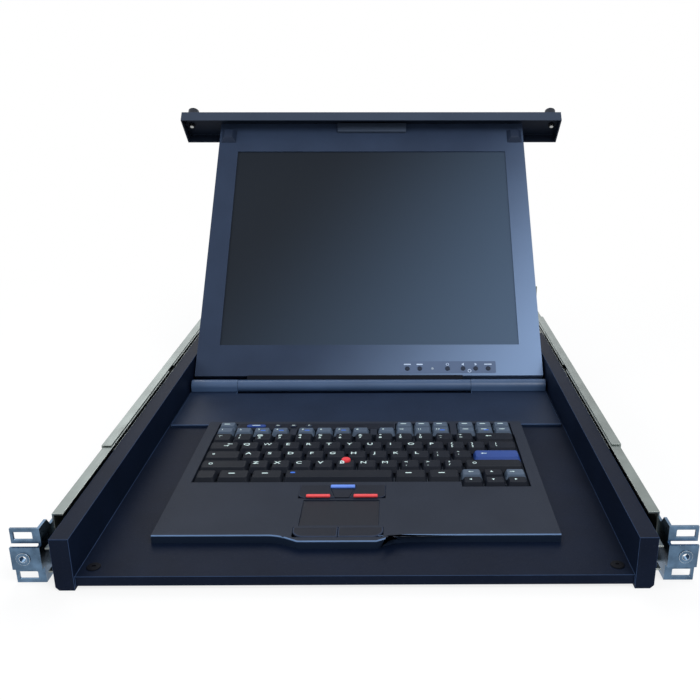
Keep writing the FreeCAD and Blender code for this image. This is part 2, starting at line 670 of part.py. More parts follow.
def rails(side, sign):
    """Front and rear rails inside the carrier rail that clamps them."""
    web_low, _ = across(sign, "rail_in", "rail_out")
    front = channel(f"rail_front_{side}_channel", sign, "rail_out", "rail_out - rail_flange", "rail_half",
                    "rail_sheet", ("rail_front", "rail_front_length"))
    opening = slot("adjust_slot_front", (web_low, STUDS["front"], "0"), "adjust_slot",
                   "stud_diameter + 2 * rail_slip", "rail_sheet", "x")
    keep(cut(f"rail_front_{side}", front, [opening]), f"rail_front_{side}")

    carrier = channel(f"rail_carrier_{side}_channel", sign, "carrier_out", "carrier_out - rail_flange",
                      "carrier_half", "rail_sheet", ("carrier_front", "carrier_length"))
    low, _ = across(sign, "carrier_in", "carrier_out")
    holes = [rod("stud_hole", "stud_diameter / 2", (low, y, "0"), "rail_sheet", "x")
             for y in STUDS.values()]
    keep(cut(f"rail_carrier_{side}", carrier, holes), f"rail_carrier_{side}")

    rear = channel(f"rail_rear_{side}_channel", sign, "rail_out", "rail_out - rail_flange", "rail_half",
                   "rail_sheet", ("rail_end - rail_rear_length", "rail_rear_length"))
    ear_half = "(rack_z + ear_slot_width / 2 + rear_ear_rim)"
    ear = box("rear_ear", across(sign, "rail_in", "ear_edge"), ("rail_end - ear_sheet", "rail_end"),
              (f"-({ear_half})", ear_half))
    slots = [slot("adjust_slot_rear", (web_low, STUDS["rear"], "0"), "adjust_slot",
                  "stud_diameter + 2 * rail_slip", "rail_sheet", "x")]
    slots += [rack_slot(sign, way, "rail_end - ear_sheet") for way in ("-1", "1")]
    keep(cut(f"rail_rear_{side}", fuse("rear_rail_blank", [rear, ear]), slots), f"rail_rear_{side}")


def rail_fasteners():
    """Clamping studs with their nuts, and the ears' threaded inserts."""
    pieces = []
    for _, sign in SIDES:
        for y in STUDS.values():
            low, _ = across(sign, "rail_in", "carrier_out + nut_height")
            shank = rod("stud", "stud_diameter / 2", (low, y, "0"), "carrier_out + nut_height - rail_in", "x")
            nut = doc.addObject("Part::Prism", "nut")
            nut.Polygon = 6
            nut.Placement = Placement(Vector(), TURNS["x"])
            low, _ = across(sign, "carrier_out", "carrier_out + nut_height")
            bind(nut, Circumradius="nut_width / 2", Height="nut_height", Placement__Base__x=low,
                 Placement__Base__y=y)
            pieces.append(fuse("clamp_nut", [shank, nut]))
        x = f"{sign} * rack_x"
        flange = rod("insert_flange_ring", "insert_flange / 2", (x, "seat_front - insert_rim", "0"),
                     "insert_rim", "y")
        barrel = rod("insert_barrel_tube", "insert_barrel / 2", (x, "seat_front", "0"),
                     "ear_sheet + ear_joggle - 2 * insert_rim", "y")
        bore = rod("insert_thread", "insert_bore / 2", (x, "seat_front - insert_rim", "0"),
                   "ear_sheet + ear_joggle", "y")
        pieces.append(cut("threaded_insert", fuse("insert_blank", [flange, barrel]), [bore]))
    keep(group("rail_fasteners", pieces), "rail_fasteners")


# ---------------------------------------------------------------- ball slides

def slides(side, sign):
    """Outer member on the rail, middle member, and inner member on the tray."""
    outer = channel(f"slide_outer_{side}_body", sign, "rail_in", "tray_side + slide_tip", "outer_half",
                    "slide_sheet", ("carrier_front", "slide_length"))
    keep(outer, f"slide_outer_{side}")
    middle = channel(f"slide_middle_{side}_body", sign, "middle_web", "tray_side + 1.4 * slide_tip",
                     "middle_half", "slide_sheet", ("middle_front", "slide_length"))
    keep(middle, f"slide_middle_{side}")

    owner = body(f"slide_inner_{side}_body")
    sketch = drawing(owner, f"slide_inner_{side}_section", "front", "tray_front + slide_setback")
    web, tip, half = "tray_side", "middle_web - slide_sheet - slide_tip / 2", "inner_half"
    inner_web, inner_half = f"({web} + slide_sheet)", f"({half} - slide_sheet)"
    corners = (
        (web, f"-({half})"), (tip, f"-({half})"), (tip, f"-{inner_half}"), (inner_web, f"-{inner_half}"),
        (inner_web, inner_half), (tip, inner_half), (tip, half), (web, half),
    )
    outline(sketch, [(f"{sign} * ({x})", z) for x, z in corners])
    pad(owner, sketch, "slide_length")
    keep(owner, f"slide_inner_{side}")


def ball(x, y, z):
    """A slide ball with few faces: three crossed eight-sided bars."""
    bars = []
    for turn in (Rotation(), Rotation(Vector(1, 0, 0), 90), Rotation(Vector(0, 1, 0), 90)):
        bar = doc.addObject("Part::Prism", "ball_bar")
        bar.Polygon = 8
        step = turn.multiply(Rotation(Vector(0, 0, 1), 22.5))
        bar.Placement = Placement(Vector(), step)
        low = step.multVec(Vector(0, 0, -1))
        radius = "ball_diameter / 2"
        bind(bar, Circumradius=radius, Height="ball_diameter",
             Placement__Base__x=f"{x} + {round(low.x)} * {radius}",
             Placement__Base__y=f"{y} + {round(low.y)} * {radius}",
             Placement__Base__z=f"{z} + {round(low.z)} * {radius}")
        bars.append(bar)
    crossed = doc.addObject("Part::MultiCommon", "ball")
    crossed.Shapes = bars
    return crossed


def ball_cages(name, half, start):
    """Cage strips with their balls, above and below a member on both sides."""
    pieces = []
    count = int(number("ball_count"))
    for _, sign in SIDES:
        x = f"{sign} * race_x"
        for way in ("-1", "1"):
            z = f"{way} * ({half} + race_step / 2)"
            strip = box("cage_strip", (f"{x} - cage_width / 2", f"{x} + cage_width / 2"),
                        (start, f"{start} + cage_length"),
                        (f"{z} - cage_sheet / 2", f"{z} + cage_sheet / 2"))
            holes = []
            for place in range(count):
                y = f"{start} + cage_length * {place + 0.5} / {count}"
                hole = doc.addObject("Part::Prism", "cage_hole")
                hole.Polygon = 8
                hole.Placement = Placement(Vector(), Rotation(Vector(0, 0, 1), 22.5))
                bind(hole, Circumradius="ball_diameter / 2 + cage_hole_play", Height="2 * cage_sheet",
                     Placement__Base__x=x, Placement__Base__y=y, Placement__Base__z=f"{z} - cage_sheet")
                holes.append(hole)
                pieces.append(ball(x, y, z))
            pieces.append(cut("cage", strip, holes))
    keep(group(name, pieces), name)


# ---------------------------------------------------------------- tray

def tray_shell():
    """Folded side walls, raised floor with its front lip, and the rear wall."""
    owner = body("tray_shell_body")
    low_wall = f"tray_base + wall_chamfer"
    for side, sign in SIDES:
        wall = drawing(owner, f"wall_{side}", "front", "tray_front")
        corners = (("wall_in", "tray_base"), ("tray_side - wall_chamfer", "tray_base"),
                   ("tray_side", low_wall), ("tray_side", "tray_top"), ("wall_in", "tray_top"))
        outline(wall, [(f"{sign} * ({x})", z) for x, z in corners])
        pad(owner, wall, "tray_depth")
        if side == "left":
            tray_floor(owner)
    for side, sign in SIDES:
        hollow = drawing(owner, f"wall_hollow_{side}", "front", "tray_front + tray_sheet")
        wide = across(sign, "wall_in + tray_sheet", "tray_side - tray_sheet")
        rectangle(hollow, wide, (f"{low_wall} + tray_sheet", "tray_top - tray_sheet"))
        pocket(owner, hollow, "tray_depth")
    outlets = drawing(owner, "rear_outlets", "front", "tray_rear - tray_sheet")
    rectangle(outlets, ("inlet_x - socket_play", "inlet_x + inlet_width + socket_play"),
              ("floor_top + inlet_base - socket_play", "floor_top + inlet_base + inlet_height + socket_play"))
    rectangle(outlets, ("video_x - socket_play", "video_x + socket_width + socket_play"),
              ("link_face - socket_play", "link_face + socket_height + socket_play"))
    for place in (0, 1):
        circle(outlets, f"round_x + {place} * round_pitch", "round_z", "round_socket / 2 + socket_play")
    pocket(owner, outlets, "tray_sheet")
    keep(owner, "tray_shell")


def tray_floor(owner):
    """The floor between the walls, its folded lip and the rear wall."""
    wide = ("-(wall_in)", "wall_in")
    level = drawing(owner, "floor", "front", "tray_front + lip_setback")
    rectangle(level, wide, ("floor_top - tray_sheet", "floor_top"))
    pad(owner, level, "tray_depth - lip_setback")
    lip = drawing(owner, "lip", "front", "tray_front + lip_setback")
    rectangle(lip, wide, ("floor_top - lip_height", "floor_top"))
    pad(owner, lip, "tray_sheet")
    rear = drawing(owner, "rear_wall", "front", "tray_rear - tray_sheet")
    rectangle(rear, wide, ("floor_top", "tray_top - tray_sheet"))
    pad(owner, rear, "tray_sheet")


def tray_deck():
    """Raised rear deck with folded edges that stand on the floor."""
    owner = body("tray_deck_body")
    section = drawing(owner, "deck_section", "side", "-(wall_in - deck_margin)")
    front, rear = "tray_front + deck_start", "hinge_y + deck_tail"
    under = "deck_top - tray_sheet"
    outline(section, [
        (front, "floor_top"), (f"{front} + tray_sheet", "floor_top"), (f"{front} + tray_sheet", under),
        (f"{rear} - tray_sheet", under), (f"{rear} - tray_sheet", "floor_top"), (rear, "floor_top"),
        (rear, "deck_top"), (front, "deck_top"),
    ])
    pad(owner, section, "2 * (wall_in - deck_margin)")
    notch = drawing(owner, "barrel_notch", "top", "floor_top")
    rectangle(notch, ("-(barrel_left)", "barrel_right"),
              ("hinge_y - hinge_radius - notch_lead", f"{rear} + 1"))
    pocket(owner, notch, "2 * deck_rise")
    keep(owner, "tray_deck")


def rear_cover():
    """Lid of the rear compartment: a top plate with a folded front."""
    owner = body("rear_cover_body")
    section = drawing(owner, "cover_section", "side", "-(wall_in - cover_fit)")
    front, rear = "tray_front + cover_start", "tray_rear"
    under = "tray_top - tray_sheet"
    outline(section, [
        (front, "floor_top"), (f"{front} + tray_sheet", "floor_top"), (f"{front} + tray_sheet", under),
        (rear, under), (rear, "tray_top"), (front, "tray_top"),
    ])
    pad(owner, section, "2 * (wall_in - cover_fit)")
    keep(owner, "rear_cover")


def hinge_blocks():
    """The two fixed hinge blocks and the pins that reach from them."""
    spans = {"left": ("-(wall_in - deck_margin)", "-(barrel_left)"),
             "right": ("barrel_right", "wall_in - deck_margin")}
    pins = []
    for side, sign in SIDES:
        low, high = spans[side]
        length = f"({high}) - ({low})"
        drum = rod("block_drum", "block_radius", (low, "hinge_y", "hinge_z"), length, "x")
        foot = box("block_foot", (low, high), ("hinge_y - block_radius", "hinge_y + block_radius"),
                   ("deck_top", "hinge_z"))
        end = high if side == "left" else low
        start = f"{end} - pin_length / 2"
        bore_start = start if side == "left" else end
        bore = rod("pin_bore", "pin_diameter / 2", (bore_start, "hinge_y", "hinge_z"), "pin_length / 2", "x")
        under = box("block_under", (f"{low} - 1", f"{high} + 1"),
                    ("hinge_y - 2 * block_radius", "hinge_y + 2 * block_radius"),
                    ("hinge_z - 2 * block_radius", "deck_top"))
        keep(cut(f"hinge_block_{side}", fuse("block_blank", [drum, foot]), [bore, under]),
             f"hinge_block_{side}")
        pins.append(rod("hinge_pin", "pin_diameter / 2", (start, "hinge_y", "hinge_z"), "pin_length", "x"))
    keep(group("hinge_pins", pins), "hinge_pins")


# ---------------------------------------------------------------- display

def display_shells():
    """Front shell with the screen opening, and the back shell behind it."""
    far, near = "panel_inner", "-(display_edge)"
    wide = ("-(display_half)", "display_half")
    inner_wide = ("-(display_half - display_sheet)", "display_half - display_sheet")
    inner_long = (f"{far} + display_sheet", f"{near} - display_sheet")

    front = body("display_frame_body")
    blank = drawing(front, "frame_blank", "top", "face_rise")
    rectangle(blank, wide, (far, near))
    pad(front, blank, "frame_depth")
    hollow = drawing(front, "frame_hollow", "top", "screen_front")
    rectangle(hollow, inner_wide, inner_long)
    pocket(front, hollow, "frame_depth")
    window = drawing(front, "frame_window", "top", "face_rise")
    near_view = f"{near} - view_margin"
    rectangle(window, ("-(view_width) / 2", "view_width / 2"), (f"{near_view} - view_height", near_view))
    for line in MENU_LINES.values():
        circle(window, line, "menu_y", "menu_button / 2 + menu_play")
    circle(window, "lamp_line", "menu_y", "lamp_diameter / 2 + menu_play / 2")
    pocket(front, window, "display_sheet")
    keep(swing(front), "display_frame")

    back = body("display_back_body")
    side = drawing(back, "back_side", "side", "-(display_half)")
    outline(side, [(far, "display_split"), (near, "display_split"), (near, "display_back - back_chamfer"),
                   (f"{near} - back_chamfer", "display_back"), (far, "display_back")])
    pad(back, side, "display_width")
    inner = drawing(back, "back_hollow", "side", "-(display_half - display_sheet)")
    outline(inner, [
        (inner_long[0], "display_split"), (inner_long[1], "display_split"),
        (inner_long[1], "display_back - back_chamfer - display_sheet / 2"),
        (f"{inner_long[1]} - back_chamfer + display_sheet / 2", "display_back - display_sheet"),
        (inner_long[0], "display_back - display_sheet"),
    ])
    pocket(back, inner, "display_width - 2 * display_sheet")
    keep(swing(back), "display_back")


MENU_LINES = {
    "one": "menu_one", "two": "menu_two", "three": "menu_three",
    "four": "menu_four", "five": "menu_five", "six": "menu_six",
}


def screen():
    """The screen module, seated behind the front shell's face."""
    near = "-(display_edge) - view_margin + (screen_height - view_height) / 2"
    slab = box("screen_slab", ("-(screen_width) / 2", "screen_width / 2"),
               (f"{near} - screen_height", near), ("screen_front", "screen_front + screen_thick"))
    keep(swing(rounded("lcd_panel", slab, "display_sheet", upright)), "lcd_panel")


def display_board():
    """Control board behind the menu buttons, with its switches and lamp."""
    near = "-(display_edge) - 2 * display_sheet"
    left, right = "board_offset - board_width / 2", "board_offset + board_width / 2"
    pieces = [box("menu_board", (left, right), (f"{near} - board_height", near),
                  ("board_face", "board_face + board_sheet"))]
    pieces.append(box("board_ledge", (left, right), (near, "-(display_edge) - display_sheet"),
                      ("board_face", "board_face + board_sheet")))
    for line in MENU_LINES.values():
        pieces.append(box("menu_switch", (f"{line} - switch_size / 2", f"{line} + switch_size / 2"),
                          ("menu_y - switch_size / 2", "menu_y + switch_size / 2"),
                          ("board_face - switch_rise", "board_face")))
    pieces.append(rod("lamp", "lamp_diameter / 2", ("lamp_line", "menu_y", "face_rise - 0.2"),
                      "board_face - face_rise + 0.2", "z"))
    keep(swing(fuse("display_board", pieces)), "display_board")


def menu_buttons():
    """Six round menu buttons in the display face."""
    for name, line in MENU_LINES.items():
        top = "face_rise - menu_proud"
        stem = rod("menu_stem_rod", "menu_button / 2", (line, "menu_y", top), "menu_stem", "z")
        keep(swing(group(f"menu_button_{name}", [stem])), f"menu_button_{name}")


def hinge_barrel():
    """The turning barrel with the neck and foot that carry the display."""
    left, right = "-(barrel_left) + barrel_play", "barrel_right - barrel_play"
    drum = rod("barrel_drum", "hinge_radius", (left, "0", "0"), f"({right}) - ({left})", "x")
    wide = (f"{left} + neck_margin", f"{right} - neck_margin")
    neck = box("barrel_neck", wide, ("-(display_edge)", "0"), ("neck_low", "neck_low + neck_sheet"))
    foot = box("barrel_foot", wide, ("-(display_edge)", "-(display_edge) + neck_foot_sheet"),
               ("neck_low", "neck_low + neck_foot"))
    depth = "pin_length / 2 + 1"
    bores = [rod("barrel_bore", "pin_diameter / 2 + pin_play", (left, "0", "0"), depth, "x"),
             rod("barrel_bore", "pin_diameter / 2 + pin_play", (f"{right} - ({depth})", "0", "0"), depth, "x")]
    keep(swing(cut("hinge_barrel", fuse("barrel_blank", [drum, neck, foot]), bores)), "hinge_barrel")


def front_panel():
    """The 19-inch panel: a shallow pan with holes for the thumbscrews."""
    low, high = "panel_middle - panel_height / 2", "panel_middle + panel_height / 2"
    owner = body("front_panel_body")
    blank = drawing(owner, "panel_blank", "front", "panel_face")
    rectangle(blank, ("-(panel_width) / 2", "panel_width / 2"), (low, high))
    pad(owner, blank, "panel_depth")
    hollow = drawing(owner, "panel_hollow", "front", "panel_inner")
    rectangle(hollow, ("-(panel_width) / 2 + panel_sheet", "panel_width / 2 - panel_sheet"),
              (f"{low} + panel_sheet", f"{high} - panel_sheet"))
    pocket(owner, hollow, "panel_depth")
    holes = drawing(owner, "panel_holes", "front", "panel_face")
    for _, sign in SIDES:
        circle(holes, f"{sign} * rack_x", "panel_middle", "screw_diameter / 2 + screw_hole_play")
    pocket(owner, holes, "panel_sheet")
    keep(swing(owner), "front_panel")


def panel_catches():
    """Two wedge catches and the finger grip on the display face."""
    pieces = []
    far = "panel_inner + catch_drop"
    for _, sign in SIDES:
        wedge = doc.addObject("Part::Wedge", "catch")
        wedge.Placement = Placement(Vector(), Rotation(Vector(1, 0, 0), -90))
        bind(wedge, Xmin="-(catch_width) / 2", Xmax="catch_width / 2", Zmin="0", Zmax="catch_length",
             Ymin="0", Ymax="catch_proud", X2min="-(catch_width) / 2 + catch_ramp",
             X2max="catch_width / 2 - catch_ramp", Z2min="catch_ramp / 2", Z2max="catch_length - catch_ramp",
             Placement__Base__x=f"{sign} * (display_half - catch_inset - catch_width / 2)",
             Placement__Base__y=far, Placement__Base__z="face_rise")
        pieces.append(wedge)
    near = "panel_inner + grip_drop"
    grip = box("grip_bar", ("-(grip_width) / 2", "grip_width / 2"), (near, f"{near} + grip_height"),
               ("face_rise - grip_proud", "face_rise"))
    front = number("face_rise - grip_proud")
    pieces.append(rounded("grip", grip, "grip_round",
                          lambda edge: edge.BoundBox.ZMax < front + 0.01 and edge.BoundBox.XLength > 1))
    keep(swing(group("panel_catches", pieces)), "panel_catches")


def thumbscrews():
    """Captive thumbscrews, drawn back, and the clips that keep them."""
    for side, sign in SIDES:
        neck = "screw_diameter / 2 - clip_groove"
        name = f"thumbscrew_{side}"
        end = "screw_end - (knob_end)"
        low = f"{end} - screw_tip + clip_gap"
        high = f"{low} + clip_sheet"
        radius = "screw_diameter / 2"
        profile = [
            ("0", "0"), ("knob_diameter / 2 - knob_rim", "0"), ("knob_diameter / 2", "knob_rim"),
            ("knob_diameter / 2", "knob_length"), (radius, "knob_length"),
            (radius, f"{low} - clip_play"), (neck, f"{low} - clip_play"),
            (neck, f"{high} + clip_play"), (radius, f"{high} + clip_play"),
            (radius, end), ("0", end),
        ]
        screw = turned(name, profile)
        place_on_panel(screw, sign, "knob_end")
        keep(screw, name)
        ring = rod("clip_ring", "clip_diameter / 2", ("0", low, "0"), "clip_sheet", "y")
        hole = rod("clip_hole", f"{neck} + clip_play", ("0", low, "0"), "clip_sheet", "y")
        clip = cut(f"thumbscrew_clip_{side}", ring, [hole])
        place_on_panel(clip, sign, "knob_end")
        keep(clip, f"thumbscrew_clip_{side}")


def place_on_panel(item, sign, along):
    """Set an object, built on its own Y axis, on a panel hole and swing it."""
    item.Placement = Placement(Vector(), Rotation(Vector(1, 0, 0), -1))
    bind(item, Placement__Rotation__Angle="-open_angle", Placement__Base__x=f"{sign} * rack_x",
         Placement__Base__y=f"hinge_y + ({along}) * cos(open_angle) + panel_middle * sin(open_angle)",
         Placement__Base__z=f"hinge_z - ({along}) * sin(open_angle) + panel_middle * cos(open_angle)")


# ---------------------------------------------------------------- keyboard

def cap(x, y, width, depth, shallow="0"):
    """One tapered key cap on its centre; shallow takes slope off front and rear."""
    wedge = doc.addObject("Part::Wedge", "cap")
    wedge.Placement = Placement(Vector(), Rotation(Vector(1, 0, 0), 90))
    bind(wedge, Xmin=f"-({width}) / 2", Xmax=f"({width}) / 2", Zmin=f"-({depth}) / 2", Zmax=f"({depth}) / 2",
         Ymin="0", Ymax="key_height", X2min=f"-({width}) / 2 + key_side", X2max=f"({width}) / 2 - key_side",
         Z2min=f"-({depth}) / 2 + key_rear * (1 - {shallow} / 4)",
         Z2max=f"({depth}) / 2 - key_front + {shallow} / 2",
         Placement__Base__x=x, Placement__Base__y=y, Placement__Base__z="key_base")
    return wedge


def hollow_tool(x, y, depth):
    """The shallow cylinder that dishes one key."""
    radius = "key_dish_radius"
    start = (x, f"{y} - ({depth}) / 2", f"key_top - key_dish + {radius}")
    return rod("dish", radius, start, depth, "y")


def key_row(name, row, units, first=0.0):
    """A row of full-height keys; units lists each key's width in pitches."""
    caps, dishes = [], []
    place = first
    y = f"field_front + {row + 0.5} * key_pitch"
    depth = "key_pitch - key_gap"
    for unit in units:
        x = f"key_left + {place + unit / 2} * key_pitch"
        caps.append(cap(x, y, f"{unit} * key_pitch - key_gap", depth))
        if unit < 2.5:
            dishes.append(hollow_tool(x, y, depth))
        place += unit
    return caps, dishes


def row_node(name, caps, dishes, others=()):
    """Dish a row's caps and keep them, with any others, as one node."""
    tools = [group(f"{name}_dishes", dishes), *others]
    result = doc.addObject("Part::Cut", name)
    result.Base = group(f"{name}_caps", caps)
    result.Tool = tools[0] if len(tools) == 1 else group(f"{name}_tools", tools)
    keep(result, name)


FUNCTION_BLOCKS = ((0, 4), (4, 4), (8, 4), (12, 3))


def function_x(index):
    """Centre of the function key of this index, counting from the left."""
    block = next(count for count, (first, size) in enumerate(FUNCTION_BLOCKS) if index < first + size)
    return f"key_left + {index + 0.5} * function_pitch + {block} * function_gap"


HOME_UNITS = [1.75] + [1] * 11


def keys():
    """All key caps, one node for each row and one for the large blue key."""
    stick = [rod("stick_clear", "stick_notch / 2", ("point_x", "board_front + stick_line", "key_base - 1"),
                 "key_height + 2", "z")]
    rows = {
        "key_row_number": (4, [1] * 13 + [2]),
        "key_row_upper": (3, [1.5] + [1] * 12 + [1.5]),
        "key_row_home": (2, HOME_UNITS),
        "key_row_lower": (1, [2.25] + [1] * 10 + [2.75]),
    }
    for name, (row, units) in rows.items():
        caps, dishes = key_row(name, row, units)
        row_node(name, caps, dishes, stick if name in ("key_row_home", "key_row_lower") else ())
    caps, dishes = key_row("key_enter", 2, [2.25], sum(HOME_UNITS))
    row_node("key_enter", caps, dishes)

    caps, dishes = key_row("key_row_bottom", 0, [1, 1.5, 1.5, 5, 1.5, 1.5])
    for line in (0, 1):
        for column in range(3):
            x = f"key_left + {12.5 + column} * key_pitch"
            y = f"field_front - arrow_drop + {line + 0.5} * arrow_pitch"
            caps.append(cap(x, y, "key_pitch - key_gap", "arrow_pitch - key_gap", "arrow_shallow"))
    row_node("key_row_bottom", caps, dishes)

    caps = []
    for line, indices in ((0, range(15)), (1, (0, 9, 10, 11, 12, 13, 14))):
        for index in indices:
            x, y = function_x(index), f"field_rear + {line + 0.5} * function_depth"
            caps.append(cap(x, y, "function_pitch - key_gap", "function_depth - key_gap", "arrow_shallow"))
    keep(group("key_row_function", caps), "key_row_function")


def key_bays():
    """Openings of the keyboard frame: key field, arrows and function blocks."""
    z = ("floor_top", "frame_top + 5")
    bays = [box("main_bay", ("key_left - bay_gap", "key_right + bay_gap"),
                ("field_front - bay_gap", "field_rear"), z),
            box("arrow_bay", ("key_left + 12 * key_pitch - bay_gap / 2", "key_right + bay_gap"),
                ("field_front - arrow_drop - bay_gap", "field_front"), z)]
    for first, size in FUNCTION_BLOCKS:
        low = f"{function_x(first)} - function_pitch / 2 - bay_gap / 2"
        high = f"{function_x(first + size - 1)} + function_pitch / 2 + bay_gap / 2"
        bays.append(box("function_bay", (low, high), ("field_rear - 1", "field_rear + function_depth"), z))
    for first, last in ((0, 0), (9, 11), (12, 14)):
        low = f"{function_x(first)} - function_pitch / 2 - bay_gap / 2"
        high = f"{function_x(last)} + function_pitch / 2 + bay_gap / 2"
        bays.append(box("top_bay", (low, high),
                        ("field_rear + function_depth - 1", "field_rear + 2 * function_depth + bay_gap / 2"), z))
    return bays


def keyboard_frame():
    """Moulded frame: hand rest with its bulge, key bays and button openings."""
    owner = body("keyboard_form")
    side = drawing(owner, "frame_side", "side", "board_left")
    crease = "board_front + rest_depth"
    outline(side, [("board_front", "floor_top"), ("board_rear", "floor_top"), ("board_rear", "frame_top"),
                   (crease, "frame_top"), ("board_front", "rest_top")])
    pad(owner, side, "keyboard_width")
    bulge = drawing(owner, "frame_bulge", "top", "floor_top")
    corners = (("-(bump_width) / 2", "board_front"), ("-(bump_flat) / 2", "board_front - bump_depth"),
               ("bump_flat / 2", "board_front - bump_depth"), ("bump_width / 2", "board_front"))
    outline(bulge, [(f"point_x + ({x})", y) for x, y in corners])
    pad(owner, bulge, "keyboard_edge")
    doc.recompute()

    skin = "frame_skin"
    under = box("frame_under", (f"board_left + {skin}", f"board_right - {skin}"),
                (f"board_front + {skin}", f"board_rear - {skin}"), ("floor_top", "floor_top + plate_sheet + 0.2"))
    rest_under = box("rest_under", (f"board_left + {skin}", f"board_right - {skin}"),
                     (f"board_front + {skin}", "field_front - arrow_drop - bay_gap - frame_skin"),
                     ("floor_top", f"frame_top - {skin}"))
    tools = key_bays() + [under, rest_under] + button_holes()
    keep(cut("keyboard_frame", owner, tools), "keyboard_frame")


def button_holes():
    """Openings in the frame for the buttons and the touchpad."""
    z = ("floor_top", "frame_top + 5")
    play = "button_play"
    half = "mouse_width / 2"
    holes = [
        box("mouse_hole", (f"point_x - {half} - {play}", f"point_x + {half} + {play}"),
            (f"mouse_y - {play}", f"mouse_y + mouse_depth + {play}"), z),
        box("pad_hole", ("point_x - pad_width / 2 - pad_play", "point_x + pad_width / 2 + pad_play"),
            ("pad_y - pad_play", "pad_y + pad_depth + pad_play"), z),
        box("click_hole", (f"point_x - click_width / 2 - {play}", f"point_x + click_width / 2 + {play}"),
            (f"click_y - {play}", f"click_y + click_depth + {play}"), z),
        box("access_hole", (f"access_place - access_width / 2 - {play}", f"access_place + access_width / 2 + {play}"),
            (f"top_buttons - access_depth / 2 - {play}", f"top_buttons + access_depth / 2 + {play}"), z),
    ]
    for place in range(3):
        holes.append(rod("sound_hole", f"sound_diameter / 2 + {play}",
                         (f"sound_first + {place} * sound_pitch", "top_buttons", z[0]), "keyboard_height", "z"))
    return holes


def keyboard_plate():
    """Steel base plate under the keys."""
    fit = "frame_skin + plate_fit"
    plate = box("base_plate", (f"board_left + {fit}", f"board_right - ({fit})"),
                (f"board_front + {fit}", f"board_rear - ({fit})"), ("floor_top", "floor_top + plate_sheet"))
    keep(plate, "keyboard_plate")


def mouse_buttons():
    """Three buttons of the pointing stick: two outer and a wedge between them."""
    rear, front = "mouse_y + mouse_depth", "mouse_y"
    gap = "button_play / 2"
    height = "mouse_top - (floor_top + plate_sheet) - button_travel - 0.2"
    base = f"mouse_top - ({height})"
    corners = {
        "left": [("-(mouse_width) / 2", rear), (f"-(mouse_rear) / 2 - {gap}", rear),
                 (f"-(mouse_front) / 2 - {gap}", front), ("-(mouse_width) / 2", front)],
        "middle": [(f"-(mouse_rear) / 2 + {gap}", rear), (f"mouse_rear / 2 - {gap}", rear),
                   (f"mouse_front / 2 - {gap}", front), (f"-(mouse_front) / 2 + {gap}", front)],
        "right": [(f"mouse_rear / 2 + {gap}", rear), ("mouse_width / 2", rear), ("mouse_width / 2", front),
                  (f"mouse_front / 2 + {gap}", front)],
    }
    bars = {"left": ("-(mouse_front) / 2 - mouse_bar - 4", front), "right": ("mouse_front / 2 + 4", front),
            "middle": ("-(mouse_bar) / 2", f"{rear} - mouse_bar_depth - 3")}
    for name, spots in corners.items():
        owner = body(f"stick_button_{name}_body")
        plan = drawing(owner, f"stick_{name}_plan", "top", base)
        outline(plan, [(f"point_x + ({x})", y) for x, y in spots])
        pad(owner, plan, height)
        low, line = bars[name]
        bar = drawing(owner, f"stick_{name}_bar", "top", "mouse_top")
        rectangle(bar, (f"point_x + ({low})", f"point_x + ({low}) + mouse_bar"),
                  (line, f"{line} + mouse_bar_depth"))
        pad(owner, bar, "mouse_bar_rise")
        keep(owner, f"stick_button_{name}")


def pad_buttons():
    """Two buttons in front of the touchpad, rounded at the outer corners."""
    height = "click_top - (floor_top + plate_sheet) - button_travel - 0.2"
    base = f"click_top - ({height})"
    for side, sign in SIDES:
        low, high = across(sign, "button_play / 2", "click_width / 2")
        block = box(f"click_{side}", (f"point_x + ({low})", f"point_x + ({high})"),
                    ("click_y", "click_y + click_depth"), (base, "click_top"))
        outer = number(f"point_x + {sign} * click_width / 2")
        front = number("click_y")
        keep(rounded(f"pad_button_{side}", block, "click_round",
                     lambda edge: upright(edge) and abs(edge.BoundBox.XMin - outer) < 0.01
                     and abs(edge.BoundBox.YMin - front) < 0.01), f"pad_button_{side}")


def touchpad():
    """Touchpad plate on its pillar over the base plate."""
    plate = box("pad_plate", ("point_x - pad_width / 2", "point_x + pad_width / 2"),
                ("pad_y", "pad_y + pad_depth"), ("pad_top - frame_skin", "pad_top"))
    core = box("pad_core", ("point_x - pad_width / 2 + 6", "point_x + pad_width / 2 - 6"),
               ("pad_y + 6", "pad_y + pad_depth - 6"), ("floor_top + plate_sheet", "pad_top - frame_skin"))
    keep(fuse("touchpad", [plate, core]), "touchpad")


def pointing_stick():
    """Rubber cap on its post among the keys."""
    base, top = "plate_sheet", "stick_height"
    post, rim = "stick_post / 2", "stick_cap / 2"
    under = f"{top} - stick_skirt"
    stick = turned("pointing_stick", [
        ("0", base), (post, base), (post, under), (rim, under), (rim, f"{top} - stick_rim"),
        (f"{rim} - stick_rim", top), ("0", top),
    ])
    stick.Placement = Placement(Vector(), Rotation(Vector(1, 0, 0), 90))
    bind(stick, Placement__Base__x="point_x", Placement__Base__y="board_front + stick_line",
         Placement__Base__z="floor_top")
    keep(stick, "pointing_stick")


def top_buttons():
    """The pill button and the three round ones above the keys."""
    height = "top_button_top - (floor_top + plate_sheet) - button_travel - 0.3"
    base = f"top_button_top - ({height})"
    pill = slot("pill", ("access_place", "0", "0"), "access_width", "access_depth", height, "y")
    pill.Placement = Placement(Vector(), Rotation(Vector(1, 0, 0), 90))
    bind(pill, Placement__Base__y="top_buttons", Placement__Base__z=base)
    keep(pill, "access_button")
    rounds = [rod("sound", "sound_diameter / 2", (f"sound_first + {place} * sound_pitch", "top_buttons", base),
                  height, "z") for place in range(3)]
    keep(group("sound_buttons", rounds), "sound_buttons")


# ---------------------------------------------------------------- rear compartment

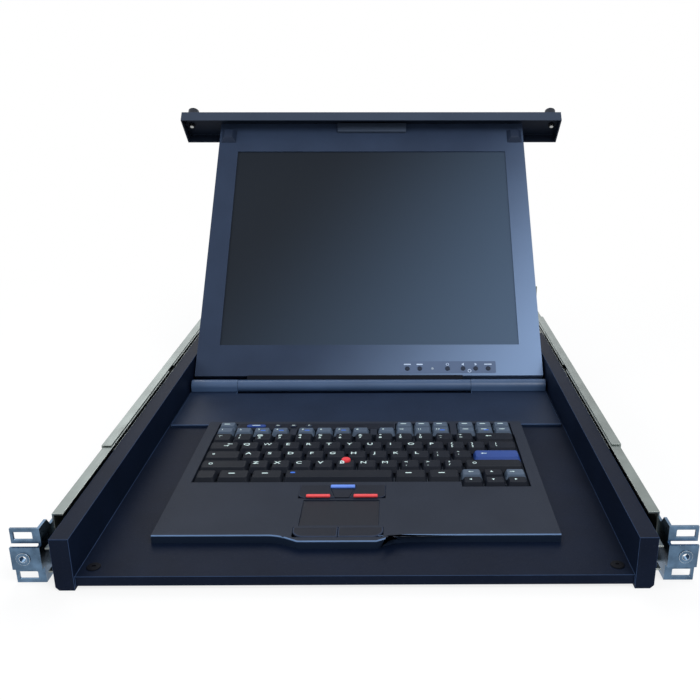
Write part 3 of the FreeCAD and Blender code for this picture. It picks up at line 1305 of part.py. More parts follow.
def power_module():
    """Power module on the tray floor with its mains inlet in the rear wall."""
    rear = "supply_rear"
    case = box("supply_case", ("supply_place", "supply_place + supply_width"),
               (f"{rear} - supply_depth", rear), ("floor_top", "floor_top + supply_height"))
    inlet = box("inlet_case", ("inlet_x", "inlet_x + inlet_width"), (rear, "tray_rear + 1"),
                ("floor_top + inlet_base", "floor_top + inlet_base + inlet_height"))
    side = "(inlet_width - inlet_well_width) / 2"
    rise = "(inlet_height - inlet_well_height) / 2"
    well = box("inlet_recess", (f"inlet_x + {side}", f"inlet_x + inlet_width - {side}"),
               ("tray_rear + 1 - inlet_well", "tray_rear + 1"),
               (f"floor_top + inlet_base + {rise}", f"floor_top + inlet_base + inlet_height - {rise}"))
    keep(cut("power_module", fuse("supply_blank", [case, inlet]), [well]), "power_module")


def interface_board():
    """Interface board on pillars with its video and round connectors."""
    rear = "link_rear"
    right = "link_place + link_width"
    low = "floor_top + link_lift"
    pieces = [box("link_plate", ("link_place", right), (f"{rear} - link_depth", rear), (low, "link_face"))]
    for x in ("link_place + standoff", f"{right} - standoff"):
        for y in (f"{rear} - standoff", f"{rear} - link_depth + standoff"):
            pieces.append(box("pillar", (f"{x} - standoff / 2", f"{x} + standoff / 2"),
                              (f"{y} - standoff / 2", f"{y} + standoff / 2"), ("floor_top", low)))
    pieces.append(box("video_socket", ("video_x", "video_x + socket_width"),
                      (f"{rear} - socket_depth", "tray_rear + 1"), ("link_face", "link_face + socket_height")))
    for place in (0, 1):
        x = f"round_x + {place} * round_pitch"
        pieces.append(rod("round_socket_drum", "round_socket / 2", (x, f"{rear} - socket_depth", "round_z"),
                          "socket_depth + rear_clearance + tray_sheet + 1", "y"))
        pieces.append(box("round_socket_foot", (f"{x} - round_socket / 2", f"{x} + round_socket / 2"),
                          (f"{rear} - socket_depth", rear), ("link_face", "round_z")))
    keep(fuse("interface_board", pieces), "interface_board")


# ---------------------------------------------------------------- build

def build():
    """Make every sub-part."""
    for side, sign in SIDES:
        ear_bracket(side, sign)
        rails(side, sign)
        slides(side, sign)
    rail_fasteners()
    ball_cages("ball_cages_outer", "middle_half", "tray_front + outer_cage_setback")
    ball_cages("ball_cages_inner", "inner_half", "tray_front + inner_cage_setback")
    tray_shell()
    tray_deck()
    rear_cover()
    hinge_blocks()
    display_shells()
    screen()
    display_board()
    menu_buttons()
    hinge_barrel()
    front_panel()
    panel_catches()
    thumbscrews()
    keyboard_plate()
    keyboard_frame()
    keys()
    mouse_buttons()
    pad_buttons()
    touchpad()
    pointing_stick()
    top_buttons()
    power_module()
    interface_board()
    doc.recompute()


def check():
    """Stop if any object failed or any sub-part isn't sound."""
    for item in doc.Objects:
        if "Invalid" in item.State or "Error" in item.State:
            raise RuntimeError(f"{item.Label} failed: {item.State}")
    for name, item in nodes.items():
        if item.Shape.isNull() or not item.Shape.isValid() or not item.Shape.Solids:
            raise RuntimeError(f"{name} has no sound shape")


def write():
    """Write one STEP file for each sub-part."""
    os.makedirs("parts", exist_ok=True)
    for name, item in nodes.items():
        item.Shape.exportStep(f"parts/{name}.step")
        print(f"{name}: {len(item.Shape.Solids)} solids, {item.Shape.Volume / 1000:.2f} cm3")


build()
check()
write()
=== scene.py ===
"""Looks of a one-unit rack console drawer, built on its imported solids.

Each sub-assembly is a class that holds its sizes and makes and dresses its
pieces.  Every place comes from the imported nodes' boxes or from the sizes of
the product.  Lengths are in metres: +X right, +Y into the rack, +Z up.
"""

from __future__ import annotations

import json
import logging
import math
from dataclasses import dataclass, field, replace
from enum import Enum
from typing import Callable, Sequence

import bmesh
import bpy
from mathutils import Matrix, Vector

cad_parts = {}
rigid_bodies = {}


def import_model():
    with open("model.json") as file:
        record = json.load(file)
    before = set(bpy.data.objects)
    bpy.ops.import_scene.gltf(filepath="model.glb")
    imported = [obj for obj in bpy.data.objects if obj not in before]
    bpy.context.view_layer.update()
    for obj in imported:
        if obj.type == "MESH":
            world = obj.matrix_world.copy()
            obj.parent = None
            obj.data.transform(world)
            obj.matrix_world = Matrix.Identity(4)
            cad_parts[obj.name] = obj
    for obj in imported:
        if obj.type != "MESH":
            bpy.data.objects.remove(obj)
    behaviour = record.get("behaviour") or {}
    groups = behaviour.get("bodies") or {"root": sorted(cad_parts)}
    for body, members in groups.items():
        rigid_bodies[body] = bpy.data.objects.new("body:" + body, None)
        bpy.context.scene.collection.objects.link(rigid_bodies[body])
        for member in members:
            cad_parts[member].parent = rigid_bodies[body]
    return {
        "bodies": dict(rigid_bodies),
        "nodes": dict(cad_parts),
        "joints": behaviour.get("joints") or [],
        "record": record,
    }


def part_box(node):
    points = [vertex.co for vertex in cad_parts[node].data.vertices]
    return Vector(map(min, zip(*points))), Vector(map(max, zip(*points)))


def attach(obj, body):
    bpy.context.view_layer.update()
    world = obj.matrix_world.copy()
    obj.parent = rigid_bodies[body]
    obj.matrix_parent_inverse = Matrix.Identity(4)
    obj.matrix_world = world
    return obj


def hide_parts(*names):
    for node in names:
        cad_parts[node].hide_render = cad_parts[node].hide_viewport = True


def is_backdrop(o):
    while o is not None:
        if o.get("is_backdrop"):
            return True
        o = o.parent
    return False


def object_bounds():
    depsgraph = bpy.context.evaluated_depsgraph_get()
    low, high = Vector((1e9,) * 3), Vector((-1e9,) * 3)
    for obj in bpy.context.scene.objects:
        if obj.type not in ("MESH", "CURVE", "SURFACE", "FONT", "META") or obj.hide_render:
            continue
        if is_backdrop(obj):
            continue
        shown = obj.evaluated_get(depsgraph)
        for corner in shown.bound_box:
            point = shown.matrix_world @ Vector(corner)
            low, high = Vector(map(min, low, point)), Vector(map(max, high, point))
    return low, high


LOG = logging.getLogger("console_drawer")
MM = 0.001

Point = tuple[float, float, float]
Colour = tuple[int, int, int]


class Side(Enum):
    """Left or right of the drawer, with the sign of its X."""

    LEFT = -1
    RIGHT = 1

    @property
    def word(self) -> str:
        """The side's name as node names spell it."""
        return self.name.lower()


class Slot(Enum):
    """The record's material slots, named for new pieces but never given to them."""

    PAINT = "painted_steel"
    ZINC = "zinc_steel"
    GALVANISED = "galvanised_steel"
    SLIDE = "slide_steel"
    KEYBOARD = "keyboard_plastic"
    KEY_GREY = "key_grey"
    KEY_BLACK = "key_black"
    KEY_BLUE = "key_blue"
    STICK = "stick_red"
    TOUCH = "touch_surface"
    MODULE = "module_metal"


# ---------------------------------------------------------------- finishes


def linear(colour: Colour) -> tuple[float, float, float, float]:
    """Turn a display colour into scene-linear values.

    Args:
        colour: Red, green and blue from 0 to 255.

    Returns:
        Linear red, green, blue and an alpha of 1.
    """
    parts = [part / 255 for part in colour]
    flat = [p / 12.92 if p <= 0.04045 else ((p + 0.055) / 1.055) ** 2.4 for p in parts]
    return (flat[0], flat[1], flat[2], 1.0)


def add_node(tree: bpy.types.NodeTree, kind: str, inputs: dict[str, object]) -> bpy.types.Node:
    """Add a shader node, and set or link its inputs.

    Args:
        tree: The nodes to add to.
        kind: The node's type.
        inputs: A value or a socket for each input that isn't left as it is.

    Returns:
        The new node.
    """
    node = tree.nodes.new(kind)
    for name, value in inputs.items():
        if isinstance(value, bpy.types.NodeSocket):
            tree.links.new(value, node.inputs[name])
        else:
            node.inputs[name].default_value = value
    return node


PATCH_SPAN = (0.3, 0.7)
SPECK_SPAN = (0.62, 0.72)
SPECK_SIZE = 1.3 * MM
SPECK_COLOUR = (150, 165, 190)
# Direction in which the painted sheen grows: to the right and down.
PAINTED_SHEEN_DIRECTION = (2.4, 0, -2.4)
GRAIN_HEIGHT = 0.3 * MM
GLOSS_SPREAD = 0.08


@dataclass(frozen=True)
class Finish:
    """One surface finish, made from nodes on Object coordinates."""

    name: str
    colour: Colour
    roughness: float = 0.5
    metallic: float = 0.0
    specular: float = 0.1
    mottle: float = 0.12
    mottle_size: float = 40 * MM
    grain_size: float = 0.8 * MM
    grain_depth: float = 0.15
    speckle: float = 0.0
    brushed: Point | None = None
    sheen: float = 0.0
    # Colour of a painted sheen blended in across the piece, and the span of the blend.
    sweep: Colour | None = None
    sweep_span: tuple[float, float] = (0.0, 1.0)
    # Paler colour of the rounded edges: a painted highlight.
    worn: Colour | None = None

    def edge(self) -> bpy.types.Material:
        """Build the paler finish that paints a highlight on this one's rounded edges."""
        return replace(self, name=f"{self.name}_edge", colour=self.worn, speckle=0.0, worn=None).material()

    def material(self) -> bpy.types.Material:
        """Build the finish, or return it if it was built before.

        Returns:
            The material with its node tree.
        """
        label = f"{self.name}_finish"
        found = bpy.data.materials.get(label)
        if found:
            return found
        made = bpy.data.materials.new(label)
        made.use_nodes = True
        tree = made.node_tree
        tree.nodes.clear()
        place = tree.nodes.new("ShaderNodeTexCoord").outputs["Object"]
        shader = add_node(tree, "ShaderNodeBsdfPrincipled", {
            "Base Color": self._colour(tree, place), "Roughness": self.roughness, "Metallic": self.metallic,
            "Specular IOR Level": self.specular, "Sheen Weight": self.sheen})
        self._relief(tree, shader, place)
        add_node(tree, "ShaderNodeOutputMaterial", {"Surface": shader.outputs["BSDF"]})
        return made

    def _colour(self, tree: bpy.types.NodeTree, place: bpy.types.NodeSocket) -> bpy.types.NodeSocket:
        """Vary the colour over broad patches, with pale specks if any, and a painted sheen that lightens it
        towards the right and down if the finish has one.

        Args:
            tree: The material's nodes.
            place: The coordinates the patches read.

        Returns:
            The finished colour.
        """
        ramp = add_node(tree, "ShaderNodeValToRGB", {"Fac": noise(tree, place, self.mottle_size, 3)})
        for point, position, change in zip(ramp.color_ramp.elements, PATCH_SPAN, (-self.mottle, self.mottle)):
            point.position = position
            point.color = (*(part * (1 + change) for part in linear(self.colour)[:3]), 1)
        colour = ramp.outputs["Color"]
        if self.speckle:
            specks = noise(tree, place, SPECK_SIZE, 2)
            colour = blend(tree, colour, SPECK_COLOUR, specks, SPECK_SPAN, most=self.speckle)
        # Painted sheen: the colour lightens towards the right and down, standing in for the light's
        # reflection.
        if self.sweep:
            across = tree.nodes.new("ShaderNodeVectorMath")
            across.operation = "DOT_PRODUCT"
            across.inputs[1].default_value = PAINTED_SHEEN_DIRECTION
            tree.links.new(place, across.inputs[0])
            colour = blend(tree, colour, self.sweep, across.outputs["Value"], self.sweep_span, "SMOOTHSTEP")
        return colour

    def _relief(self, tree: bpy.types.NodeTree, shader: bpy.types.Node,
                place: bpy.types.NodeSocket) -> None:
        """Give the surface its fine grain, in height and in gloss.

        Args:
            tree: The material's nodes.
            shader: The Principled shader.
            place: The coordinates the grain reads.
        """
        if self.brushed:
            mapping = add_node(tree, "ShaderNodeMapping", {"Vector": place, "Scale": self.brushed})
            place = mapping.outputs["Vector"]
        grain = noise(tree, place, self.grain_size, 2)
        bump = add_node(tree, "ShaderNodeBump", {
            "Strength": self.grain_depth, "Distance": GRAIN_HEIGHT, "Height": grain})
        gloss = add_node(tree, "ShaderNodeMapRange", {
            "Value": grain, "To Min": max(0.02, self.roughness - GLOSS_SPREAD),
            "To Max": min(1.0, self.roughness + GLOSS_SPREAD)})
        tree.links.new(bump.outputs["Normal"], shader.inputs["Normal"])
        tree.links.new(gloss.outputs["Result"], shader.inputs["Roughness"])


def noise(tree: bpy.types.NodeTree, place: bpy.types.NodeSocket, size: float,
          detail: float) -> bpy.types.NodeSocket:
    """Add a noise whose features are about this size.

    Args:
        tree: The material's nodes.
        place: The coordinates it reads.
        size: Feature size in metres.
        detail: Octaves of finer noise.

    Returns:
        The noise's factor output.
    """
    made = add_node(tree, "ShaderNodeTexNoise", {"Vector": place, "Scale": 1 / size, "Detail": detail})
    return made.outputs["Fac"]


def blend(tree: bpy.types.NodeTree, under: bpy.types.NodeSocket, over: Colour, value: bpy.types.NodeSocket,
          span: tuple[float, float], ease: str = "LINEAR", most: float = 1.0) -> bpy.types.NodeSocket:
    """Blend a colour over another one as a value crosses a span.

    Args:
        tree: The material's nodes.
        under: The colour where the value is low.
        over: The colour where the value is high.
        value: The value.
        span: Where the blend starts and ends.
        ease: How the blend runs between them.
        most: The share of the upper colour at the end.

    Returns:
        The blended colour.
    """
    share = add_node(tree, "ShaderNodeMapRange", {
        "Value": value, "From Min": span[0], "From Max": span[1], "To Max": most})
    share.interpolation_type = ease
    mix = tree.nodes.new("ShaderNodeMix")
    mix.data_type = "RGBA"
    tree.links.new(share.outputs["Result"], mix.inputs["Factor"])
    low, high = (socket for socket in mix.inputs if socket.type == "RGBA")
    tree.links.new(under, low)
    high.default_value = linear(over)
    return next(socket for socket in mix.outputs if socket.type == "RGBA")


# Each finish's paler edge colour is a painted highlight on its rounded edges.
POWDER_COAT = Finish("powder_coat", (11, 20, 37), 0.5, specular=0.05, mottle=0.14, grain_size=0.9 * MM,
                     grain_depth=0.22, speckle=0.015, worn=(46, 64, 94))
DECK_PAINT = Finish("deck_paint", (27, 39, 60), 0.45, specular=0.07, mottle=0.1, grain_size=0.9 * MM,
                    grain_depth=0.2, speckle=0.02, worn=(70, 92, 128))
# Display paint: a painted sheen lightens it towards the lower right, standing in for the key light's
# reflection.
DISPLAY_PAINT = Finish("display_paint", (44, 56, 77), 0.48, mottle=0.08, grain_size=0.7 * MM,
                       grain_depth=0.25, worn=(104, 126, 160), sweep=(140, 166, 204),
                       sweep_span=(-0.3, 0.7))
LABEL_STRIP = Finish("label_strip", (86, 103, 132), 0.42, specular=0.14, mottle=0.04, grain_depth=0.05)
PANEL_PAINT = Finish("panel_paint", (19, 26, 38), 0.5, specular=0.08, mottle=0.08, grain_depth=0.2,
                     worn=(66, 80, 100))
PANEL_LIP = Finish("panel_lip", (54, 64, 80), 0.5, mottle_size=120 * MM, grain_depth=0.2,
                   worn=(92, 106, 128))
HINGE_PAINT = Finish("hinge_paint", (64, 86, 118), 0.34, specular=0.3, mottle=0.08, grain_depth=0.08)
# Near-black finish for the hinge neck between barrel and display: a painted shade.
NECK_PAINTED_SHADE = Finish("neck_paint", (17, 20, 28), 0.6, specular=0.05, mottle=0.08, grain_depth=0.1)
BRIGHT_ZINC = Finish("bright_zinc", (88, 112, 136), 0.3, metallic=1.0, mottle=0.34, mottle_size=9 * MM,
                     grain_size=2.5 * MM, grain_depth=0.1, worn=(224, 232, 236), specular=0.5)
GALVANISED = Finish("galvanised", (118, 126, 124), 0.36, metallic=1.0, mottle=0.16, mottle_size=30 * MM,
                    grain_size=1.5 * MM, grain_depth=0.05, brushed=(1.0, 0.05, 1.0), worn=(196, 202, 198),
                    specular=0.5)
SLIDE_STEEL = Finish("slide_steel", (104, 110, 110), 0.3, metallic=1.0, grain_depth=0.04,
                     brushed=(1.0, 0.05, 1.0), worn=(140, 146, 144), specular=0.5)
DARK_STEEL = Finish("dark_steel", (52, 58, 70), 0.35, metallic=1.0, grain_depth=0.05, specular=0.5)
HAND_REST = Finish("hand_rest", (34, 40, 52), 0.6, mottle=0.08, grain_size=0.45 * MM, grain_depth=0.35,
                   speckle=0.015, worn=(70, 88, 116))
KEY_BLACK = Finish("key_black", (16, 21, 31), 0.5, specular=0.08, mottle=0.05, grain_size=0.35 * MM,
                   grain_depth=0.2)
KEY_WARM = replace(KEY_BLACK, name="key_warm", colour=(22, 26, 34), roughness=0.55)
KEY_GREY = replace(KEY_BLACK, name="key_grey", colour=(72, 86, 104), roughness=0.45, specular=0.12)
KEY_BLUE = replace(KEY_BLACK, name="key_blue", colour=(38, 66, 132), roughness=0.45, specular=0.14)
BAR_RED = Finish("bar_red", (226, 76, 80), 0.45, mottle=0.06, grain_depth=0.1, specular=0.2)
BAR_BLUE = replace(BAR_RED, name="bar_blue", colour=(98, 136, 222))
CAP_RED = Finish("cap_red", (222, 62, 70), 0.75, mottle=0.08, grain_size=0.7 * MM, grain_depth=0.9,
                 sheen=0.1)
LEGEND_WHITE = Finish("legend_white", (214, 236, 236), 0.6, mottle=0.03, grain_depth=0.02)
LEGEND_BLUE = replace(LEGEND_WHITE, name="legend_blue", colour=(62, 112, 212))
# Darker finish for the hand rest's front faces: a painted shade.
REST_PAINTED_SHADE = Finish("rest_face", (22, 33, 50), 0.5, mottle=0.06, grain_depth=0.2)
# Pale finish of the hand rest's rounded top front edge: a painted highlight.
REST_HIGHLIGHT = Finish("rest_edge", (86, 112, 148), 0.45, specular=0.12, mottle=0.1, grain_depth=0.1)
TOUCH = Finish("touch", (22, 26, 36), 0.5, mottle=0.04, grain_size=0.4 * MM, grain_depth=0.3,
               worn=(56, 64, 80))
# Screen glass: a painted sheen lightens it towards the lower right, standing in for a reflection of the
# light.
SCREEN_GLASS = Finish("screen_glass", (26, 32, 40), 0.42, mottle=0.02, mottle_size=160 * MM,
                      grain_depth=0.0, sweep=(78, 98, 122), sweep_span=(-0.7, 0.66))
SCREEN_EDGE = Finish("screen_edge", (14, 16, 22), 0.6, specular=0.06, grain_depth=0.1)
MOULDING = Finish("moulding", (14, 20, 33), 0.5, grain_depth=0.2, worn=(44, 54, 74))
KNOB_BLACK = Finish("knob_black", (38, 43, 52), 0.45, specular=0.2, grain_depth=0.1)
BUTTON_FACE = Finish("button_face", (32, 42, 60), 0.45, specular=0.15, grain_depth=0.1)
LAMP_CLEAR = Finish("lamp_clear", (150, 166, 184), 0.3, specular=0.5, grain_depth=0.02)
LABEL_MARK = Finish("label_mark", (196, 214, 240), 0.5, grain_depth=0.02)
CIRCUIT = Finish("circuit", (26, 84, 52), 0.45, specular=0.5, mottle=0.25, mottle_size=3 * MM)
CASE_METAL = Finish("case_metal", (176, 178, 176), 0.4, metallic=1.0, mottle=0.1, grain_depth=0.05,
                    specular=0.5)


# ---------------------------------------------------------------- modelling


def deselect() -> None:
    """Leave object mode clean: nothing selected and nothing active."""
    if bpy.context.object and bpy.context.object.mode != "OBJECT":
        bpy.ops.object.mode_set(mode="OBJECT")
    bpy.ops.object.select_all(action="DESELECT")


def activate(piece: bpy.types.Object) -> None:
    """Select one piece alone and make it active.

    Args:
        piece: The piece to work on.
    """
    deselect()
    piece.select_set(True)
    bpy.context.view_layer.objects.active = piece


def apply_modifier(piece: bpy.types.Object, kind: str, **settings: object) -> None:
    """Add a modifier, set it and apply it.

    Args:
        piece: The piece that takes it.
        kind: Blender's modifier type.
        **settings: The modifier's own properties.
    """
    activate(piece)
    modifier = piece.modifiers.new(kind.lower(), kind)
    for name, value in settings.items():
        setattr(modifier, name, value)
    bpy.ops.object.modifier_apply(modifier=modifier.name)


def cut(piece: bpy.types.Object, tool: bpy.types.Object) -> None:
    """Cut a tool's shape out of a piece, and remove the tool."""
    apply_modifier(piece, "BOOLEAN", operation="DIFFERENCE", object=tool, solver="EXACT")
    bpy.data.objects.remove(tool)


def thicken(piece: bpy.types.Object, thickness: float, side: int = 0) -> None:
    """Make a flat piece this thick: about its face, or behind it with side -1."""
    apply_modifier(piece, "SOLIDIFY", thickness=thickness, offset=side)


def smooth(piece: bpy.types.Object, angle: float) -> None:
    """Shade a piece smooth but for edges sharper than this many degrees."""
    activate(piece)
    bpy.ops.object.shade_smooth_by_angle(angle=math.radians(angle))


def level_normals(piece: bpy.types.Object) -> None:
    """Turn a piece's normals to its larger faces, so that these look flat."""
    apply_modifier(piece, "WEIGHTED_NORMAL", keep_sharp=True, weight=80)


def soften(piece: bpy.types.Object, width: float, segments: int = 2, index: int = -1) -> None:
    """Round a piece's sharp edges and shade the rest smooth.

    Args:
        piece: The piece.
        width: Bevel width in metres.
        segments: Steps in each rounded edge.
        index: The material slot of the rounded edges, or -1 to keep their faces' own.
    """
    apply_modifier(piece, "BEVEL", width=width, segments=segments, limit_method="ANGLE", material=index,
                   angle_limit=math.radians(28), harden_normals=False, use_clamp_overlap=True)
    smooth(piece, 32)
    level_normals(piece)


def from_solid(frame: dict, node: str, name: str) -> bpy.types.Object:
    """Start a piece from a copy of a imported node, with whole faces again.

    Args:
        node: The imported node.
        name: The new piece's name.

    Returns:
        The new piece, at the origin.
    """
    mesh = frame["nodes"][node].data.copy()
    mesh.name = name
    mesh.materials.clear()
    piece = bpy.data.objects.new(name, mesh)
    bpy.context.scene.collection.objects.link(piece)
    activate(piece)
    bpy.ops.object.mode_set(mode="EDIT")
    bpy.ops.mesh.select_all(action="SELECT")
    bpy.ops.mesh.remove_doubles(threshold=2e-6)
    bpy.ops.mesh.dissolve_limited(angle_limit=math.radians(0.6))
    bpy.ops.object.mode_set(mode="OBJECT")
    return piece


def paint(piece: bpy.types.Object, *finishes: Finish, index: int = 0) -> None:
    """Give a piece its finishes, with one of them all over.

    Args:
        piece: The piece.
        *finishes: Its finishes, in slot order.
        index: The place of the one that covers it.
    """
    piece.data.materials.clear()
    for finish in finishes:
        piece.data.materials.append(finish.material())
    for face in piece.data.polygons:
        face.material_index = index


def round_and_paint(piece: bpy.types.Object, width: float, segments: int, *finishes: Finish) -> None:
    """Round a piece's edges and paint it, with a painted highlight on the rounded edges where the first
    finish has an edge colour.

    Args:
        piece: The piece.
        width: Bevel width in metres.
        segments: Steps in each rounded edge.
        *finishes: Its finishes, in slot order.
    """
    paint(piece, finishes[0], finishes[0])
    soften(piece, width, segments, index=1)
    rounded = [face.index for face in piece.data.polygons if face.material_index == 1]
    paint(piece, *finishes)
    # The rounded faces take the paler edge finish, a painted highlight.
    if finishes[0].worn:
        piece.data.materials.append(finishes[0].edge())
        for number in rounded:
            piece.data.polygons[number].material_index = len(finishes)


def paint_where(piece: bpy.types.Object, index: int, test: Callable[[Vector, Vector], bool]) -> None:
    """Give the faces that pass a test another of the piece's finishes.

    Args:
        piece: The piece.
        index: The finish's place in the piece's slots.
        test: Takes a face's centre and normal.
    """
    for face in piece.data.polygons:
        if test(face.center, face.normal):
            face.material_index = index


def place_in_mesh(piece: bpy.types.Object) -> None:
    """Move a piece's place, turn and scale into its mesh."""
    activate(piece)
    bpy.ops.object.transform_apply(location=True, rotation=True, scale=True)


def block(place: Sequence[float], size: Sequence[float]) -> bpy.types.Object:
    """Make a block.

    Args:
        place: Its middle.
        size: Its width, depth and height in metres.

    Returns:
        The block.
    """
    deselect()
    bpy.ops.mesh.primitive_cube_add(size=1, location=place, scale=size)
    made = bpy.context.object
    place_in_mesh(made)
    return made


def cylinder(place: Sequence[float], radius: float, height: float, vertices: int) -> bpy.types.Object:
    """Make an upright cylinder.

    Args:
        place: Its middle.
        radius: Its radius in metres.
        height: Its height in metres.
        vertices: The corners of its outline.

    Returns:
        The cylinder.
    """
    deselect()
    bpy.ops.mesh.primitive_cylinder_add(vertices=vertices, radius=radius, depth=height, location=place)
    made = bpy.context.object
    place_in_mesh(made)
    return made


def join(pieces: Sequence[bpy.types.Object], name: str) -> bpy.types.Object:
    """Make one piece of several.

    Args:
        pieces: The pieces, which are used up.
        name: The joined piece's name.

    Returns:
        The joined piece.
    """
    deselect()
    for piece in pieces:
        piece.select_set(True)
    bpy.context.view_layer.objects.active = pieces[0]
    bpy.ops.object.join()
    joined = bpy.context.object
    joined.name = name
    joined.data.name = name
    return joined


def bevel_edges(piece: bpy.types.Object, test: Callable[[Vector, Vector], bool], width: float,
                segments: int, clamp: bool = True) -> None:
    """Bevel the edges whose two ends pass a test.

    Args:
        piece: The piece.
        test: Takes the places of an edge's ends.
        width: Bevel width in metres.
        segments: Steps in the rounded edge.
        clamp: Whether the width shrinks where edges are short.
    """
    activate(piece)
    bpy.ops.object.mode_set(mode="EDIT")
    bpy.ops.mesh.select_all(action="DESELECT")
    bpy.ops.mesh.select_mode(type="EDGE")
    shape = bmesh.from_edit_mesh(piece.data)
    for edge in shape.edges:
        if test(edge.verts[0].co, edge.verts[1].co):
            edge.select_set(True)
    bmesh.update_edit_mesh(piece.data)
    bpy.ops.mesh.bevel(offset=width, segments=segments, affect="EDGES", clamp_overlap=clamp)
    bpy.ops.mesh.select_mode(type="FACE")
    bpy.ops.object.mode_set(mode="OBJECT")


def above(level: float) -> Callable[[Vector, Vector], bool]:
    """Give the test for edges that lie above a level."""
    return lambda a, b: min(a.z, b.z) > level


def below(level: float) -> Callable[[Vector, Vector], bool]:
    """Give the test for edges that lie below a level."""
    return lambda a, b: max(a.z, b.z) < level


def shift(piece: bpy.types.Object, place: Sequence[float]) -> bpy.types.Object:
    """Move a piece's mesh by this much, and return the piece."""
    piece.data.transform(Matrix.Translation(place))
    return piece


def middle_of(node: str) -> Vector:
    """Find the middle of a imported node's box."""
    return sum(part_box(node), Vector()) / 2


# ---------------------------------------------------------------- flat marks


def plate(length: float, width: float, place: Sequence[float] = (0, 0, 0),
          turn: float = 0.0) -> bpy.types.Object:
    """Draw a flat rectangle.

    Args:
        length: Its length in metres.
        width: Its width in metres.
        place: Its middle.
        turn: Where its length points, in radians from +X.

    Returns:
        The rectangle.
    """
    deselect()
    bpy.ops.mesh.primitive_plane_add(size=1, location=place, rotation=(0, 0, turn))
    drawn = bpy.context.object
    drawn.scale = (length, width, 1)
    place_in_mesh(drawn)
    return drawn


def arrow(turn: float, size: float, stem: float = 0.0) -> bpy.types.Object:
    """Draw a flat arrow head, with a stem if it has a length.

    Args:
        turn: Where it points, in degrees from +X.
        size: Width of the head in metres.
        stem: Length of the stem in metres.

    Returns:
        The flat arrow round the origin.
    """
    angle = math.radians(turn)
    deselect()
    bpy.ops.mesh.primitive_circle_add(vertices=3, radius=size * 0.55, fill_type="NGON",
                                      rotation=(0, 0, angle - math.radians(90)))
    head = bpy.context.object
    place_in_mesh(head)
    if not stem:
        return head
    back = Vector((math.cos(angle), math.sin(angle), 0)) * -(stem / 2 + size * 0.2)
    return join([head, plate(stem, size * 0.3, back, angle)], "arrow")


def bar(length: float, width: float, radius: float = 0.0) -> bpy.types.Object:
    """Draw a flat bar with rounded ends.

    Args:
        length: Its length in metres.
        width: Its width in metres.
        radius: Its corner radius in metres, or 0 for nearly round ends.

    Returns:
        The flat bar round the origin.
    """
    drawn = plate(length, width)
    activate(drawn)
    bpy.ops.object.mode_set(mode="EDIT")
    bpy.ops.mesh.select_all(action="SELECT")
    bpy.ops.mesh.bevel(offset=radius or min(length, width) * 0.45, segments=3, affect="VERTICES")
    bpy.ops.object.mode_set(mode="OBJECT")
    return drawn


def outline(drawn: bpy.types.Object, width: float) -> bpy.types.Object:
    """Leave only a band along the edge of a flat piece.

    Args:
        drawn: The flat piece.
        width: The width of the band in metres.

    Returns:
        The same piece.
    """
    activate(drawn)
    bpy.ops.object.mode_set(mode="EDIT")
    bpy.ops.mesh.select_all(action="SELECT")
    bpy.ops.mesh.inset(thickness=width, depth=0)
    bpy.ops.mesh.delete(type="FACE")
    bpy.ops.object.mode_set(mode="OBJECT")
    return drawn


def ring(radius: float, width: float) -> bpy.types.Object:
    """Draw a flat ring.

    Args:
        radius: Its outer radius in metres.
        width: The width of its band in metres.

    Returns:
        The flat ring round the origin.
    """
    deselect()
    bpy.ops.mesh.primitive_circle_add(vertices=24, radius=radius, fill_type="NGON")
    return outline(bpy.context.object, width)


LETTER_STRETCH = 1.25
LETTER_WEIGHT = 0.018
NARROW_GAPS = "MNWK"


def letter(sign: str, size: float) -> bpy.types.Object:
    """Draw one wide printed character.

    Args:
        sign: The character.
        size: Its height in metres.

    Returns:
        The flat character round the origin.
    """
    deselect()
    bpy.ops.object.text_add()
    text = bpy.context.object.data
    text.body, text.size = sign, size
    text.align_x = text.align_y = "CENTER"
    text.resolution_u = 3
    text.offset = 0 if sign in NARROW_GAPS else size * LETTER_WEIGHT
    bpy.ops.object.convert(target="MESH")
    drawn = bpy.context.object
    drawn.scale.x = LETTER_STRETCH
    place_in_mesh(drawn)
    return drawn


def print_on(drawn: bpy.types.Object, target: bpy.types.Object) -> None:
    """Lay flat marks on the piece below them, as a thin layer.

    Args:
        drawn: The flat marks, above the piece.
        target: The piece.
    """
    apply_modifier(drawn, "SHRINKWRAP", target=target, wrap_method="PROJECT", use_project_z=True,
                   use_negative_direction=True, use_positive_direction=False, offset=0.05 * MM)
    thicken(drawn, 0.1 * MM, -1)


def enrol(piece: bpy.types.Object, body: str, slot: Slot, *replaced: str) -> bpy.types.Object:
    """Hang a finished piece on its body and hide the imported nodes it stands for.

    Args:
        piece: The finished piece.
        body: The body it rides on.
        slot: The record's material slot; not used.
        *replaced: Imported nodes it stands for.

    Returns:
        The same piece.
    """
    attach(piece, body)
    for node in replaced:
        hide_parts(node)
    LOG.info("%s on %s: %d faces", piece.name, body, len(piece.data.polygons))
    return piece


@dataclass
class Assembly:
    """What every sub-assembly shares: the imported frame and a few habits."""

    frame: dict

    def dress(self, node: str, body: str, slot: Slot, width: float, *finishes: Finish,
              segments: int = 2) -> bpy.types.Object:
        """Replace a node by a copy with rounded edges and real finishes.

        Args:
            node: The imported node.
            body: The body it rides on.
            slot: The record's material slot.
            width: Bevel width in metres.
            *finishes: Its finishes, in slot order.
            segments: Steps in each rounded edge.

        Returns:
            The new piece.
        """
        piece = from_solid(self.frame, node, f"{node}_dressed")
        round_and_paint(piece, width, segments, *finishes)
        return enrol(piece, body, slot, node)

    def finish(self, node: str, finish: Finish) -> None:
        """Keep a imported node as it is, with a real finish.

        Args:
            node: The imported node.
            finish: Its finish.
        """
        piece = self.frame["nodes"][node]
        piece.data.materials.clear()
        piece.data.materials.append(finish.material())


# ---------------------------------------------------------------- rack side


